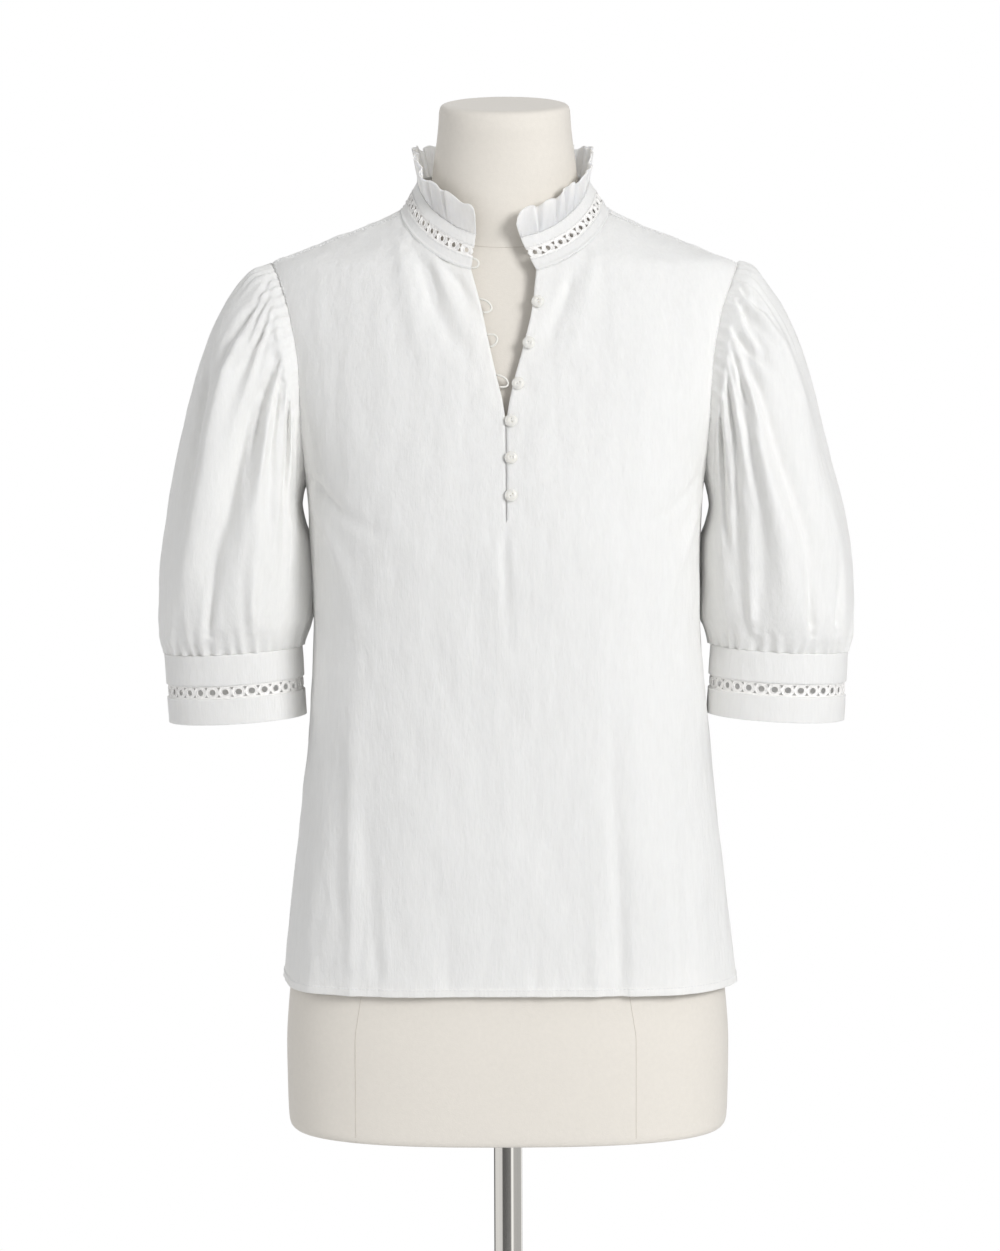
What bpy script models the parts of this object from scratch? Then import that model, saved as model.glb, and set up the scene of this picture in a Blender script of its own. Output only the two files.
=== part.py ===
"""A white blouse with a ruffled stand collar, on a dress form and its stand.

Metres, +Z up. The origin is on the ground under the middle of the round base.
The garment's front faces -Y, and the wearer's left is +X. The cloth is a thin wall
over one torso surface, whose level sections stand in a short table.
"""

from collections import namedtuple
from functools import lru_cache
from math import atan2, ceil, cos, degrees, pi, radians, sin, sqrt, tan

import bmesh
import bpy
from mathutils import Vector

# Driving sizes
FORM_BOTTOM = 0.635
NECK_TOP = 1.436
BASE_RADIUS = 0.190
BASE_HEIGHT = 0.014
BASE_EDGE = 0.004
SOCKET_RADIUS = 0.020
SOCKET_HEIGHT = 0.045
SOCKET_DEPTH = 0.030
SOCKET_CHAMFER = 0.002
SOCKET_FOOT = 0.006
BASE_CROWN = 0.004
POLE_RADIUS = 0.0112
CLOTH = 0.0012
BAND_CLOTH = 0.0014
SEAM_GAP = 0.0003
FOOT_GAP = 0.0015
CHEST_EASE = 0.0031
NECK_EASE = 0.0012
NECK_FOOT_EASE = 0.0036
SHOULDER_EASE = 0.0115
HEM_SIDE = 0.7485
HEM_FRONT = 0.7545
ARMPIT = 1.1425
SHOULDER_TIP = 1.3126
SLIT_BOTTOM = 1.117
NECK_HALF = 0.080
NECK_SIDE = 1.352
NECK_FRONT_DROP = 0.048
NECK_BACK_RISE = 0.006
SHOULDER_SEAM_AT_NECK = 84.0
SHOULDER_SEAM_AT_TIP = 10.0
SEAM_PARTING = 0.3

# Level sections of the torso under the cloth's outer face: height, half width, depth
# forward and back of the shoulder line, and how square the section is. The trunk and
# the neck column stand in tables of their own and flow into each other.
Section = namedtuple("Section", "z half_width front back square")
GARMENT = (
    Section(0.7400, 0.1762, 0.1060, 0.1045, 2.6),
    Section(0.8300, 0.1685, 0.1090, 0.1030, 2.6),
    Section(0.9380, 0.1560, 0.1125, 0.0975, 2.5),
    Section(1.0370, 0.1504, 0.1165, 0.0945, 2.5),
    Section(1.0950, 0.1514, 0.1190, 0.0965, 2.5),
    Section(1.1425, 0.1545, 0.1140, 0.1000, 2.5),
    Section(1.1900, 0.1655, 0.1035, 0.1010, 2.5),
    Section(1.2300, 0.1755, 0.0945, 0.0990, 2.4),
    Section(1.2650, 0.1825, 0.0855, 0.0940, 2.3),
    Section(1.2900, 0.1850, 0.0775, 0.0870, 2.15),
    Section(1.3060, 0.1830, 0.0722, 0.0805, 2.0),
    Section(1.3126, 0.1790, 0.0695, 0.0770, 1.95),
    Section(1.3220, 0.1570, 0.0640, 0.0710, 1.85),
    Section(1.3320, 0.1310, 0.0560, 0.0620, 1.8),
    Section(1.3420, 0.1050, 0.0430, 0.0490, 1.8),
    Section(1.3520, 0.0785, 0.0280, 0.0330, 1.9),
    Section(1.3640, 0.0600, 0.0200, 0.0200, 2.0),
    Section(1.3850, 0.0300, 0.0100, 0.0100, 2.0),
)
NECK = (
    Section(1.2600, 0.0200, 0.0200, 0.0200, 2.0),
    Section(1.3000, 0.0380, 0.0400, 0.0400, 2.0),
    Section(1.3200, 0.0520, 0.0545, 0.0540, 2.0),
    Section(1.3350, 0.0590, 0.0612, 0.0600, 2.0),
    Section(1.3520, 0.0615, 0.0628, 0.0590, 2.0),
    Section(1.3640, 0.0612, 0.0622, 0.0560, 2.0),
    Section(1.3730, 0.0600, 0.0614, 0.0530, 2.0),
    Section(1.3880, 0.0576, 0.0612, 0.0495, 2.0),
    Section(1.4080, 0.0546, 0.0629, 0.0444, 2.0),
    Section(1.4230, 0.0527, 0.0644, 0.0409, 2.0),
    Section(1.4280, 0.0529, 0.0652, 0.0404, 2.0),
    Section(1.4310, 0.0546, 0.0672, 0.0416, 2.0),
    Section(1.4345, 0.0544, 0.0670, 0.0414, 2.0),
    Section(1.4360, 0.0504, 0.0630, 0.0374, 2.0),
)
BLEND = 6
ROUNDING = 1e-6
THINNEST = 0.004
WORN = (GARMENT, NECK)
FORM_BELOW = (
    Section(0.6350, 0.1420, 0.0780, 0.0780, 2.3),
    Section(0.6365, 0.1610, 0.0940, 0.0940, 2.4),
    Section(0.6440, 0.1700, 0.1010, 0.1010, 2.5),
    Section(0.6600, 0.1733, 0.1035, 0.1030, 2.6),
    Section(0.7000, 0.1743, 0.1040, 0.1035, 2.6),
    Section(0.7400, 0.1718, 0.1020, 0.1020, 2.6),
    Section(0.8000, 0.1640, 0.0985, 0.0985, 2.5),
    Section(0.8600, 0.1500, 0.0935, 0.0900, 2.4),
    Section(0.9150, 0.1335, 0.0890, 0.0810, 2.3),
    Section(0.9600, 0.1245, 0.0885, 0.0765, 2.3),
    Section(1.0050, 0.1290, 0.0960, 0.0785, 2.3),
    Section(1.0500, 0.1390, 0.1080, 0.0850, 2.4),
)
NECK_TILT_START = 1.352
NECK_TILT = 9.0
NECK_MIDDLE = -0.0125

# Edges of the slit, viewer's left and right of the middle.
Edge = namedtuple("Edge", "z left right")
SLIT = (
    Edge(1.1170, -0.0004, 0.0004),
    Edge(1.1270, -0.0006, 0.0006),
    Edge(1.1900, -0.0006, 0.0006),
    Edge(1.2060, -0.0024, 0.0026),
    Edge(1.2230, -0.0060, 0.0062),
    Edge(1.2500, -0.0122, 0.0136),
    Edge(1.2780, -0.0182, 0.0202),
    Edge(1.3070, -0.0259, 0.0236),
)
# Angle round the neck at which the collar's two front ends stand, at its foot and top.
Ends = namedtuple("Ends", "foot top")
COLLAR_LEFT_END = Ends(18.9, 19.3)
COLLAR_RIGHT_END = Ends(17.2, 10.2)
COLLAR_HALF = 0.069
COLLAR_SIDE = 1.375
COLLAR_FRONT_DROP = 0.0445
COLLAR_FRONT_DEPTH = 0.0705
COLLAR_BACK_DEPTH = 0.0585
COLLAR_LOWER = 0.33
COLLAR_LACE = 0.66
COLLAR_SEGMENTS = 38
COLLAR_CELLS = 38

RUFFLE_HEIGHT = 0.0225
RUFFLE_FLARE = 0.0030
RUFFLE_WAVES = 23
RUFFLE_SWING = 0.0032
RUFFLE_STEPS = 92
RUFFLE_CORNER = 0.010
RUFFLE_END_HEIGHT = 0.45
RUFFLE_FOOT_OUT = 0.0012
RUFFLE_FOOT_SWING = 0.15

# The sleeve's rings: place of the outer and the inner line, depth forward and back,
# how much of the armhole's own outline is left, and the size of its gathers and folds.
Ring = namedtuple("Ring", "outer_x outer_z inner_x inner_z front back armhole gather fold")
SLEEVE_RINGS = (
    Ring(0.1795, 1.3126, 0.1545, 1.1425, 0.050, 0.056, 1.0, 0.0009, 0.0000),
    Ring(0.1925, 1.3100, 0.1578, 1.1310, 0.060, 0.064, 0.8, 0.0026, 0.0006),
    Ring(0.2080, 1.2935, 0.1592, 1.1190, 0.067, 0.070, 0.4, 0.0026, 0.0016),
    Ring(0.2240, 1.2660, 0.1598, 1.1070, 0.071, 0.074, 0.1, 0.0016, 0.0028),
    Ring(0.2400, 1.2190, 0.1600, 1.0930, 0.073, 0.076, 0.0, 0.0008, 0.0040),
    Ring(0.2520, 1.1690, 0.1600, 1.0790, 0.073, 0.075, 0.0, 0.0004, 0.0046),
    Ring(0.2640, 1.1200, 0.1598, 1.0640, 0.071, 0.073, 0.0, 0.0004, 0.0044),
    Ring(0.2705, 1.0740, 0.1592, 1.0500, 0.067, 0.069, 0.0, 0.0008, 0.0036),
    Ring(0.2720, 1.0380, 0.1586, 1.0350, 0.061, 0.063, 0.0, 0.0016, 0.0026),
    Ring(0.2712, 1.0220, 0.1592, 1.0240, 0.054, 0.056, 0.0, 0.0022, 0.0012),
    Ring(0.2668, 1.0090, 0.1612, 1.0130, 0.0455, 0.0455, 0.0, 0.0009, 0.0000),
)
SLEEVE_SEGMENTS = 48
CAP_REACH = 115.0
SLEEVE_FOLDS = 7
SLEEVE_PHASE = 0.9
SLEEVE_PARTING = 0.0004
KEPT_INSIDE = 0.3

CUFF_X = 0.2140
CUFF_Y = 0.0000
CUFF_TOP = 1.0110
CUFF_HALF_WIDTH = 0.0528
CUFF_HALF_DEPTH = 0.0455
CUFF_TILT = 3.2
CUFF_UPPER = 0.0238
CUFF_LACE = 0.0341
CUFF_BOTTOM = 0.0542
CUFF_SEGMENTS = 32
CUFF_CELLS = 32

LACE_HOLE = 0.00245
LACE_CLOTH = 0.0010

# Buttons down the viewer's right edge, and whether each is fastened.
Button = namedtuple("Button", "z fastened")
BUTTONS = (
    Button(1.2822, False),
    Button(1.2514, False),
    Button(1.2212, False),
    Button(1.1935, True),
    Button(1.1660, True),
    Button(1.1380, True),
)
BUTTON_INSET = 0.0036
BUTTON_RADIUS = 0.0049
BUTTON_STAND = 0.0021
BUTTON_RIM = 0.0012
BUTTON_DOME = 0.0013
SHANK_RADIUS = 0.0010

# Free loops down the viewer's left edge: height, reach from the edge, and spread.
Loop = namedtuple("Loop", "z reach spread drop")
LOOPS = (
    Loop(1.2800, 0.0078, 0.0050, 0.0010),
    Loop(1.2535, 0.0070, 0.0045, -0.0020),
    Loop(1.2235, 0.0076, 0.0045, 0.0012),
)
COLLAR_LOOP = Loop(1.3125, 0.0074, 0.0046, 0.0004)
COLLAR_LOOP_SHARE = 0.55
LOOP_RADIUS = 0.0008
LOOP_STEPS = 7
LOOP_START = 0.0007

PANEL_COLUMNS = 12
ROWS_BELOW = 4
ROW_CROWDING = 1.3
ROWS_ABOVE = 12
NECK_COLUMNS = 6
FORM_SEGMENTS = 28
FORM_STEPS_FROM = 1.306
FORM_STEP = 0.0085

# Long soft folds of the body: side of the body, place at the hem and at the top as an
# angle from the front middle, height at which each dies out, size and width.
Fold = namedtuple("Fold", "hem_angle top_angle top_z size width")
BODY_FOLDS = (
    Fold(-58.0, -40.0, 1.16, 0.0040, 9.0),
    Fold(-84.0, -78.0, 1.06, 0.0030, 8.0),
    Fold(-20.0, -16.0, 0.98, 0.0018, 10.0),
    Fold(40.0, 30.0, 1.12, 0.0042, 9.0),
    Fold(72.0, 62.0, 1.10, 0.0034, 8.0),
    Fold(12.0, 12.0, 0.95, 0.0016, 9.0),
    Fold(118.0, 128.0, 1.12, 0.0040, 9.0),
    Fold(152.0, 158.0, 1.20, 0.0045, 9.0),
    Fold(196.0, 194.0, 1.16, 0.0036, 9.0),
    Fold(236.0, 228.0, 1.18, 0.0042, 9.0),
)

PARTS_NAME = "ruffle_collar_top"


# Reading the tables
def sample(rows, column, z):
    """A column's value at height z, on a smooth curve through the rows."""
    if z <= rows[0].z:
        return getattr(rows[0], column)
    if z >= rows[-1].z:
        return getattr(rows[-1], column)
    k = max(i for i in range(len(rows) - 1) if rows[i].z <= z)
    low, high = rows[k], rows[k + 1]
    span = high.z - low.z
    a, b = getattr(low, column), getattr(high, column)
    rise = (b - a) / span
    before = (a - getattr(rows[k - 1], column)) / (low.z - rows[k - 1].z) if k else rise
    last = k + 2 >= len(rows)
    after = rise if last else (getattr(rows[k + 2], column) - b) / (rows[k + 2].z - high.z)
    start = slope_between(before, rise)
    end = slope_between(rise, after)
    t = (z - low.z) / span
    return (
        a * (1 + 2 * t) * (1 - t) ** 2
        + start * span * t * (1 - t) ** 2
        + b * t * t * (3 - 2 * t)
        - end * span * t * t * (1 - t)
    )


def slope_between(one, other):
    """A slope that never overshoots: none where the rows turn back."""
    if one * other <= 0:
        return 0.0
    return 2 * one * other / (one + other)


def section_share(row_set, point, middle_of_depth):
    """How far out a point lies, as a share of one table's section at its height."""
    square = sample(row_set, "square", point.z)
    front, back = sample(row_set, "front", point.z), sample(row_set, "back", point.z)
    middle = (back - front) / 2 if middle_of_depth else 0.0
    depth = front + middle if point.y < middle else back - middle
    across = abs(point.x) / sample(row_set, "half_width", point.z)
    along = abs(point.y - middle) / depth
    return max((across ** square + along ** square) ** (1 / square), 0.001)


def share_out(body, point):
    """How far out a point lies, as a share of the body: trunk and neck column as one."""
    reach = 0.0
    for row_set in body:
        if row_set[0].z - ROUNDING <= point.z <= row_set[-1].z + ROUNDING:
            reach += section_share(row_set, point, row_set is body[1]) ** -BLEND
    return reach ** (-1 / BLEND)


def share_slope(body, point, step=0.0005):
    slope = Vector()
    for axis in range(3):
        shift = Vector()
        shift[axis] = step
        slope[axis] = share_out(body, point + shift) - share_out(body, point - shift)
    return slope / (2 * step)


def torso_point(body, angle, z):
    """The body's surface at an angle in degrees from the front middle, at height z."""
    side, ahead = sin(radians(angle)), cos(radians(angle))
    facing = "front" if ahead > 0 else "back"
    half_width = max(sample(row_set, "half_width", z) for row_set in body)
    depth = max(sample(row_set, facing, z) for row_set in body)
    return from_inside(body, Vector((0, 0, z)), Vector((half_width * side, -depth * ahead, z)))


def from_inside(body, inner, outer):
    """Where the way from a point inside the body through another leaves it."""
    low, high = 0.0, 2.5
    for _ in range(26):
        middle = (low + high) / 2
        if share_out(body, inner + (outer - inner) * middle) < 1:
            low = middle
        else:
            high = middle
    return inner + (outer - inner) * low


def on_face(x, z, back=False):
    """The cloth's outer face at a place seen straight from the front or the back."""
    if share_out(WORN, Vector((x, 0, z))) >= 1:
        return Vector((x, 0, z))
    return from_inside(WORN, Vector((x, 0, z)), Vector((x, 0.1 if back else -0.1, z)))


def angle_of(point):
    """The angle that torso_point has at a point of the cloth."""
    depth = sample(GARMENT, "front" if point.y < 0 else "back", point.z)
    return degrees(atan2(point.x / sample(GARMENT, "half_width", point.z), -point.y / depth))


def fold_rise(angle, z):
    """How far the body's long folds stand off the plain surface."""
    rise = 0.0
    for fold in BODY_FOLDS:
        if z >= fold.top_z:
            continue
        climb = (z - HEM_SIDE) / (fold.top_z - HEM_SIDE)
        middle = fold.hem_angle + (fold.top_angle - fold.hem_angle) * climb
        off = (angle - middle + 180) % 360 - 180
        rise += fold.size * (1 - climb) ** 1.3 * 2 ** (-((off / fold.width) ** 2))
    return rise


def onto_torso(point):
    """The point moved out or in until it lies on the cloth's outer face."""
    inner = Vector((point.x * 0.5, 0, min(point.z - 0.02, 1.27)))
    return from_inside(WORN, inner, point)


def with_folds(point):
    """A point of the surface, raised by the body's long folds."""
    rise = fold_rise(angle_of(point), point.z)
    return point + share_slope(WORN, point).normalized() * rise if rise else point


# The seams that the pieces share
def neck_point(turn):
    """The neck edge, by the turn in degrees round the neck from the front."""
    ahead = cos(radians(turn))
    x = NECK_HALF * sin(radians(turn))
    if ahead > 0:
        z = NECK_SIDE - NECK_FRONT_DROP * ahead ** 1.25
        return on_face(x, z)
    return on_face(x, NECK_SIDE - NECK_BACK_RISE * ahead, back=True)


def armhole_point(turn):
    """The armhole of the wearer's left, by the turn from its top towards the front."""
    middle = (SHOULDER_TIP + ARMPIT) / 2
    z = middle + (SHOULDER_TIP - ARMPIT) / 2 * cos(radians(turn))
    forward = sin(radians(turn))
    ring = SLEEVE_RINGS[0]
    y = -forward * (ring.front if forward > 0 else ring.back)
    return from_inside(WORN, Vector((0, y, z)), Vector((0.1, y, z)))


def slit_edge(z, side):
    """The slit's edge, at a height, on the side +1 or -1."""
    return sample(SLIT, "right" if side > 0 else "left", z)


def made_edge(z, side):
    """The slit's edge as the front's rows cut it: straight from one row to the next."""
    end = COLLAR_RIGHT_END if side > 0 else COLLAR_LEFT_END
    step = (neck_point(side * end.foot).z - SLIT_BOTTOM) / ROWS_ABOVE
    row = min(int((z - SLIT_BOTTOM) / step), ROWS_ABOVE - 1)
    low = SLIT_BOTTOM + step * row
    start, stop = slit_edge(low, side), slit_edge(low + step, side)
    return start + (stop - start) * (z - low) / step


# Making objects
def material(name, colour, roughness, metallic=0.0):
    made = bpy.data.materials.new(name)
    made.use_nodes = True
    shader = made.node_tree.nodes["Principled BSDF"]
    shader.inputs["Base Color"].default_value = (*colour, 1.0)
    shader.inputs["Roughness"].default_value = roughness
    shader.inputs["Metallic"].default_value = metallic
    return made


def add_object(name, mesh, look, collection):
    made = bpy.data.objects.new(name, mesh)
    made.data.materials.append(look)
    collection.objects.link(made)
    mesh.shade_smooth()
    mesh.set_sharp_from_angle(angle=radians(40))
    return made


def wall(name, points, faces, thickness, look, collection):
    """Cloth: an open sheet whose outer face holds the points, made solid inward."""
    mesh = bpy.data.meshes.new(name)
    mesh.from_pydata([tuple(p) for p in points], [], faces)
    made = add_object(name, mesh, look, collection)
    solid = made.modifiers.new("thickness", "SOLIDIFY")
    solid.thickness = thickness
    solid.offset = -1.0
    return made


def grid_faces(across, up, closed=False, flip=False):
    """Quads of a grid stored row by row, with `across` points in a row."""
    faces = []
    for i in range(up - 1):
        for j in range(across if closed else across - 1):
            k = (j + 1) % across
            quad = (i * across + j, i * across + k, (i + 1) * across + k, (i + 1) * across + j)
            faces.append(quad[::-1] if flip else quad)
    return faces


# Front and back
def along_two(first, second, split, share):
    """A boundary of two stretches: the first takes the share up to `split`."""
    if share <= split:
        return first(share / split)
    return second((share - split) / (1 - split))


def panel_boundaries(side, back):
    """The four edges of half a panel, on the side +1 or -1, each from 0 to 1."""
    end = COLLAR_RIGHT_END if side > 0 else COLLAR_LEFT_END
    neck_start = 180.0 if back else end.foot
    away = SEAM_PARTING if back else -SEAM_PARTING
    neck_end = SHOULDER_SEAM_AT_NECK + away
    armhole_start = 180 + away
    tip_turn = SHOULDER_SEAM_AT_TIP - away + (360 if back else 0)
    low_middle = ARMPIT if back else SLIT_BOTTOM
    seam = neck_point(side * neck_end)

    def bottom(u):
        drop = 0.0 if back else (HEM_FRONT - HEM_SIDE) * cos(radians(90 * u)) ** 2
        middle_angle = 180.0 if back else 0.0
        angle = middle_angle + (90 + away - middle_angle) * u
        return torso_point(WORN, side * angle, HEM_SIDE + drop)

    def neck(t):
        return neck_point(side * (neck_start + (neck_end - neck_start) * t))

    def armhole(t):
        point = armhole_point(armhole_start + (tip_turn - armhole_start) * t)
        return Vector((side * point.x, point.y, point.z))

    def shoulder(t):
        if t in (0.0, 1.0):
            return armhole(1.0) if t else seam
        return onto_torso(seam.lerp(armhole(1.0), t))

    def side_seam(t):
        climb = 1 - (1 - t) ** ROW_CROWDING
        return torso_point(WORN, side * (90 + away), HEM_SIDE + (ARMPIT - HEM_SIDE) * climb)

    def middle(t):
        foot = bottom(0).z
        climb = 1 - (1 - t) ** ROW_CROWDING
        return torso_point(WORN, 180 if back else 0, foot + (low_middle - foot) * climb)

    def opening(t):
        z = low_middle + (neck(0).z - low_middle) * t
        if back:
            return torso_point(WORN, 180, z)
        x = slit_edge(z, side) if t else 0.0
        return on_face(x, z)

    split = NECK_COLUMNS / PANEL_COLUMNS
    rise = ROWS_BELOW / (ROWS_BELOW + ROWS_ABOVE)
    return (
        bottom,
        lambda u: along_two(neck, shoulder, split, u),
        lambda v: along_two(middle, opening, rise, v),
        lambda v: along_two(side_seam, armhole, rise, v),
    )


def panel_surface(edges, u, v):
    """A place of the panel's outer face, blended from its four edges."""
    bottom, top, left, right = edges
    if u in (0.0, 1.0):
        point = right(v) if u else left(v)
    elif v in (0.0, 1.0):
        point = top(u) if v else bottom(u)
    else:
        across = bottom(u) * (1 - v) + top(u) * v
        along = left(v) * (1 - u) + right(v) * u
        low = bottom(0) * (1 - u) + bottom(1) * u
        high = top(0) * (1 - u) + top(1) * u
        point = onto_torso(across + along - low * (1 - v) - high * v)
    return with_folds(point)


def make_panel(name, back, look, collection):
    """A front or back in one sheet: two halves that share their middle line."""
    rows = ROWS_BELOW + ROWS_ABOVE
    points = []
    index = {}
    for side in (-1, 1):
        edges = panel_boundaries(side, back)
        for i in range(rows + 1):
            for j in range(PANEL_COLUMNS + 1):
                shared = j == 0 and (back or i <= ROWS_BELOW)
                if shared and side > 0:
                    index[side, i, j] = index[-side, i, j]
                    continue
                index[side, i, j] = len(points)
                points.append(panel_surface(edges, j / PANEL_COLUMNS, i / rows))
    faces = []
    for side in (-1, 1):
        for i in range(rows):
            for j in range(PANEL_COLUMNS):
                quad = [index[side, i, j], index[side, i, j + 1]]
                quad += [index[side, i + 1, j + 1], index[side, i + 1, j]]
                outward = (side > 0) != back
                faces.append(quad if outward else quad[::-1])
    return wall(name, points, faces, CLOTH, look, collection)


# Sleeves and cuffs
def cuff_frame(side):
    """Middle of the cuff's top, its outward axis and its downward axis."""
    tilt = radians(CUFF_TILT)
    middle = Vector((side * CUFF_X, CUFF_Y, CUFF_TOP))
    outward = Vector((side * cos(tilt), 0, -sin(tilt)))
    down = Vector((-side * sin(tilt), 0, -cos(tilt)))
    return middle, outward, down


def cuff_point(side, turn, drop):
    """The cuff's outer face, by the turn from its outer side towards the front."""
    middle, outward, down = cuff_frame(side)
    across = outward * CUFF_HALF_WIDTH * cos(radians(turn))
    forward = Vector((0, -CUFF_HALF_DEPTH * sin(radians(turn)), 0))
    return middle + across + forward + down * drop


def ring_point(ring, turn):
    """A plain sleeve ring of the wearer's left, by the turn towards the front."""
    outer = Vector((ring.outer_x, 0, ring.outer_z))
    inner = Vector((ring.inner_x, 0, ring.inner_z))
    forward = sin(radians(turn))
    depth = ring.front if forward > 0 else ring.back
    across = (outer - inner) / 2 * cos(radians(turn))
    return (outer + inner) / 2 + across + Vector((0, -forward * depth, 0))


def cap_gather(turn):
    """How strong the cap's gathers are, all of it near the shoulder."""
    off = abs((turn + 180) % 360 - 180)
    return max(0.0, cos(radians(90 * min(off / CAP_REACH, 1.0)))) ** 0.5


def sleeve_point(level, step, side):
    """A point of the sleeve's outer face, with its gathers and long folds."""
    ring = SLEEVE_RINGS[level]
    turn = 360 * step / SLEEVE_SEGMENTS
    last = len(SLEEVE_RINGS) - 1
    plain = ring_point(ring, turn)
    armhole = armhole_point(turn) - ring_point(SLEEVE_RINGS[0], turn)
    point = plain + armhole * ring.armhole
    if level == last:
        point = cuff_point(1, turn, -SEAM_GAP)
    if level == 0:
        point.x += SLEEVE_PARTING
    middle = Vector(((ring.outer_x + ring.inner_x) / 2, 0, (ring.outer_z + ring.inner_z) / 2))
    outward = (plain - middle).normalized()
    strength = cap_gather(turn) if level < last / 2 else 1.0
    ridge = step % 2
    wave = sin(radians(turn) * SLEEVE_FOLDS + SLEEVE_PHASE * side + 0.35 * level)
    keep = KEPT_INSIDE if cos(radians(turn)) < -0.75 else sqrt(abs(sin(radians(turn))))
    rise = ring.gather * strength * ridge + ring.fold * wave * keep
    point = point + outward * rise
    return Vector((side * point.x, point.y, point.z))


def make_sleeve(name, side, look, collection):
    points = []
    for level in range(len(SLEEVE_RINGS)):
        points += [sleeve_point(level, step, side) for step in range(SLEEVE_SEGMENTS)]
    faces = grid_faces(SLEEVE_SEGMENTS, len(SLEEVE_RINGS), closed=True, flip=side < 0)
    return wall(name, points, faces, CLOTH, look, collection)


def make_cuff_band(name, side, top, bottom, look, collection):
    points = []
    for drop in (top, bottom):
        points += [cuff_point(side, 360 * k / CUFF_SEGMENTS, drop) for k in range(CUFF_SEGMENTS)]
    faces = grid_faces(CUFF_SEGMENTS, 2, closed=True, flip=side < 0)
    return wall(name, points, faces, BAND_CLOTH, look, collection)


# Lace
def lace_strip(name, surface, cells, length, height, look, collection, flip):
    """A strip of lace: one six-sided hole through the middle of each cell.

    `surface` gives the point at a share along the strip and a share up it.
    """
    points = []
    faces = []
    pitch = length / cells
    for k in range(cells + 1):
        points += [surface(k / cells, 0.0), surface(k / cells, 1.0)]
    for k in range(cells):
        first = len(points)
        for corner in range(6):
            turn = radians(60 * corner)
            along = (k + 0.5) / cells + LACE_HOLE * cos(turn) / (pitch * cells)
            points.append(surface(along, 0.5 + LACE_HOLE * sin(turn) / height))
        low, high, next_low, next_high = 2 * k, 2 * k + 1, 2 * k + 2, 2 * k + 3
        hole = [first + corner for corner in range(6)]
        cell = [
            (high, hole[2], hole[1], next_high),
            (low, next_low, hole[5], hole[4]),
            (next_high, hole[1], hole[0]),
            (next_high, hole[0], next_low),
            (next_low, hole[0], hole[5]),
            (low, hole[4], hole[3]),
            (low, hole[3], high),
            (high, hole[3], hole[2]),
        ]
        faces += [face[::-1] if flip else face for face in cell]
    return wall(name, points, faces, LACE_CLOTH, look, collection)


def make_cuff_lace(name, side, front, look, collection):
    """The front or back half of a cuff's lace ring."""
    top, bottom = CUFF_UPPER + SEAM_GAP, CUFF_LACE - SEAM_GAP
    around = pi * (CUFF_HALF_WIDTH + CUFF_HALF_DEPTH)
    parting = degrees(SEAM_GAP / CUFF_HALF_WIDTH) / 2
    start = 0.0 if front else 180.0

    def surface(along, up):
        turn = start + parting + (180 - 2 * parting) * along
        return cuff_point(side, turn, bottom + (top - bottom) * up)

    flip = side > 0
    return lace_strip(
        name, surface, CUFF_CELLS // 2, around / 2, bottom - top, look, collection, flip
    )


# Collar
def collar_top_point(turn):
    ahead = cos(radians(turn))
    x = COLLAR_HALF * sin(radians(turn))
    if ahead > 0:
        z = COLLAR_SIDE - COLLAR_FRONT_DROP * ahead ** 1.25
        return Vector((x, -COLLAR_FRONT_DEPTH * ahead, z))
    return Vector((x, -COLLAR_BACK_DEPTH * ahead, COLLAR_SIDE - NECK_BACK_RISE * ahead))


def collar_point(along, up):
    """The stand collar, from the wearer's left front end round the back to the right."""
    start = COLLAR_RIGHT_END.foot + (COLLAR_RIGHT_END.top - COLLAR_RIGHT_END.foot) * up
    stop = 360 - COLLAR_LEFT_END.foot - (COLLAR_LEFT_END.top - COLLAR_LEFT_END.foot) * up
    turn = start + (stop - start) * along
    return neck_point(turn).lerp(collar_top_point(turn), up)


@lru_cache
def collar_size():
    """The collar's length round its middle, and its height at the back."""
    steps = 60
    ring = [collar_point(k / steps, 0.5) for k in range(steps + 1)]
    around = sum((ring[k + 1] - ring[k]).length for k in range(steps))
    return around, (collar_point(0.5, 1.0) - collar_point(0.5, 0.0)).length


def make_collar_band(name, low, high, look, collection):
    points = []
    for up in (low, high):
        points += [collar_point(k / COLLAR_SEGMENTS, up) for k in range(COLLAR_SEGMENTS + 1)]
    faces = grid_faces(COLLAR_SEGMENTS + 1, 2)
    return wall(name, points, faces, BAND_CLOTH, look, collection)


def make_collar_lace(name, look, collection):
    around, tall = collar_size()
    gap = SEAM_GAP / tall
    low, high = COLLAR_LOWER + gap, COLLAR_LACE - gap

    def surface(along, up):
        return collar_point(along, low + (high - low) * up)

    return lace_strip(
        name, surface, COLLAR_CELLS, around, (high - low) * tall, look, collection, False
    )


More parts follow.
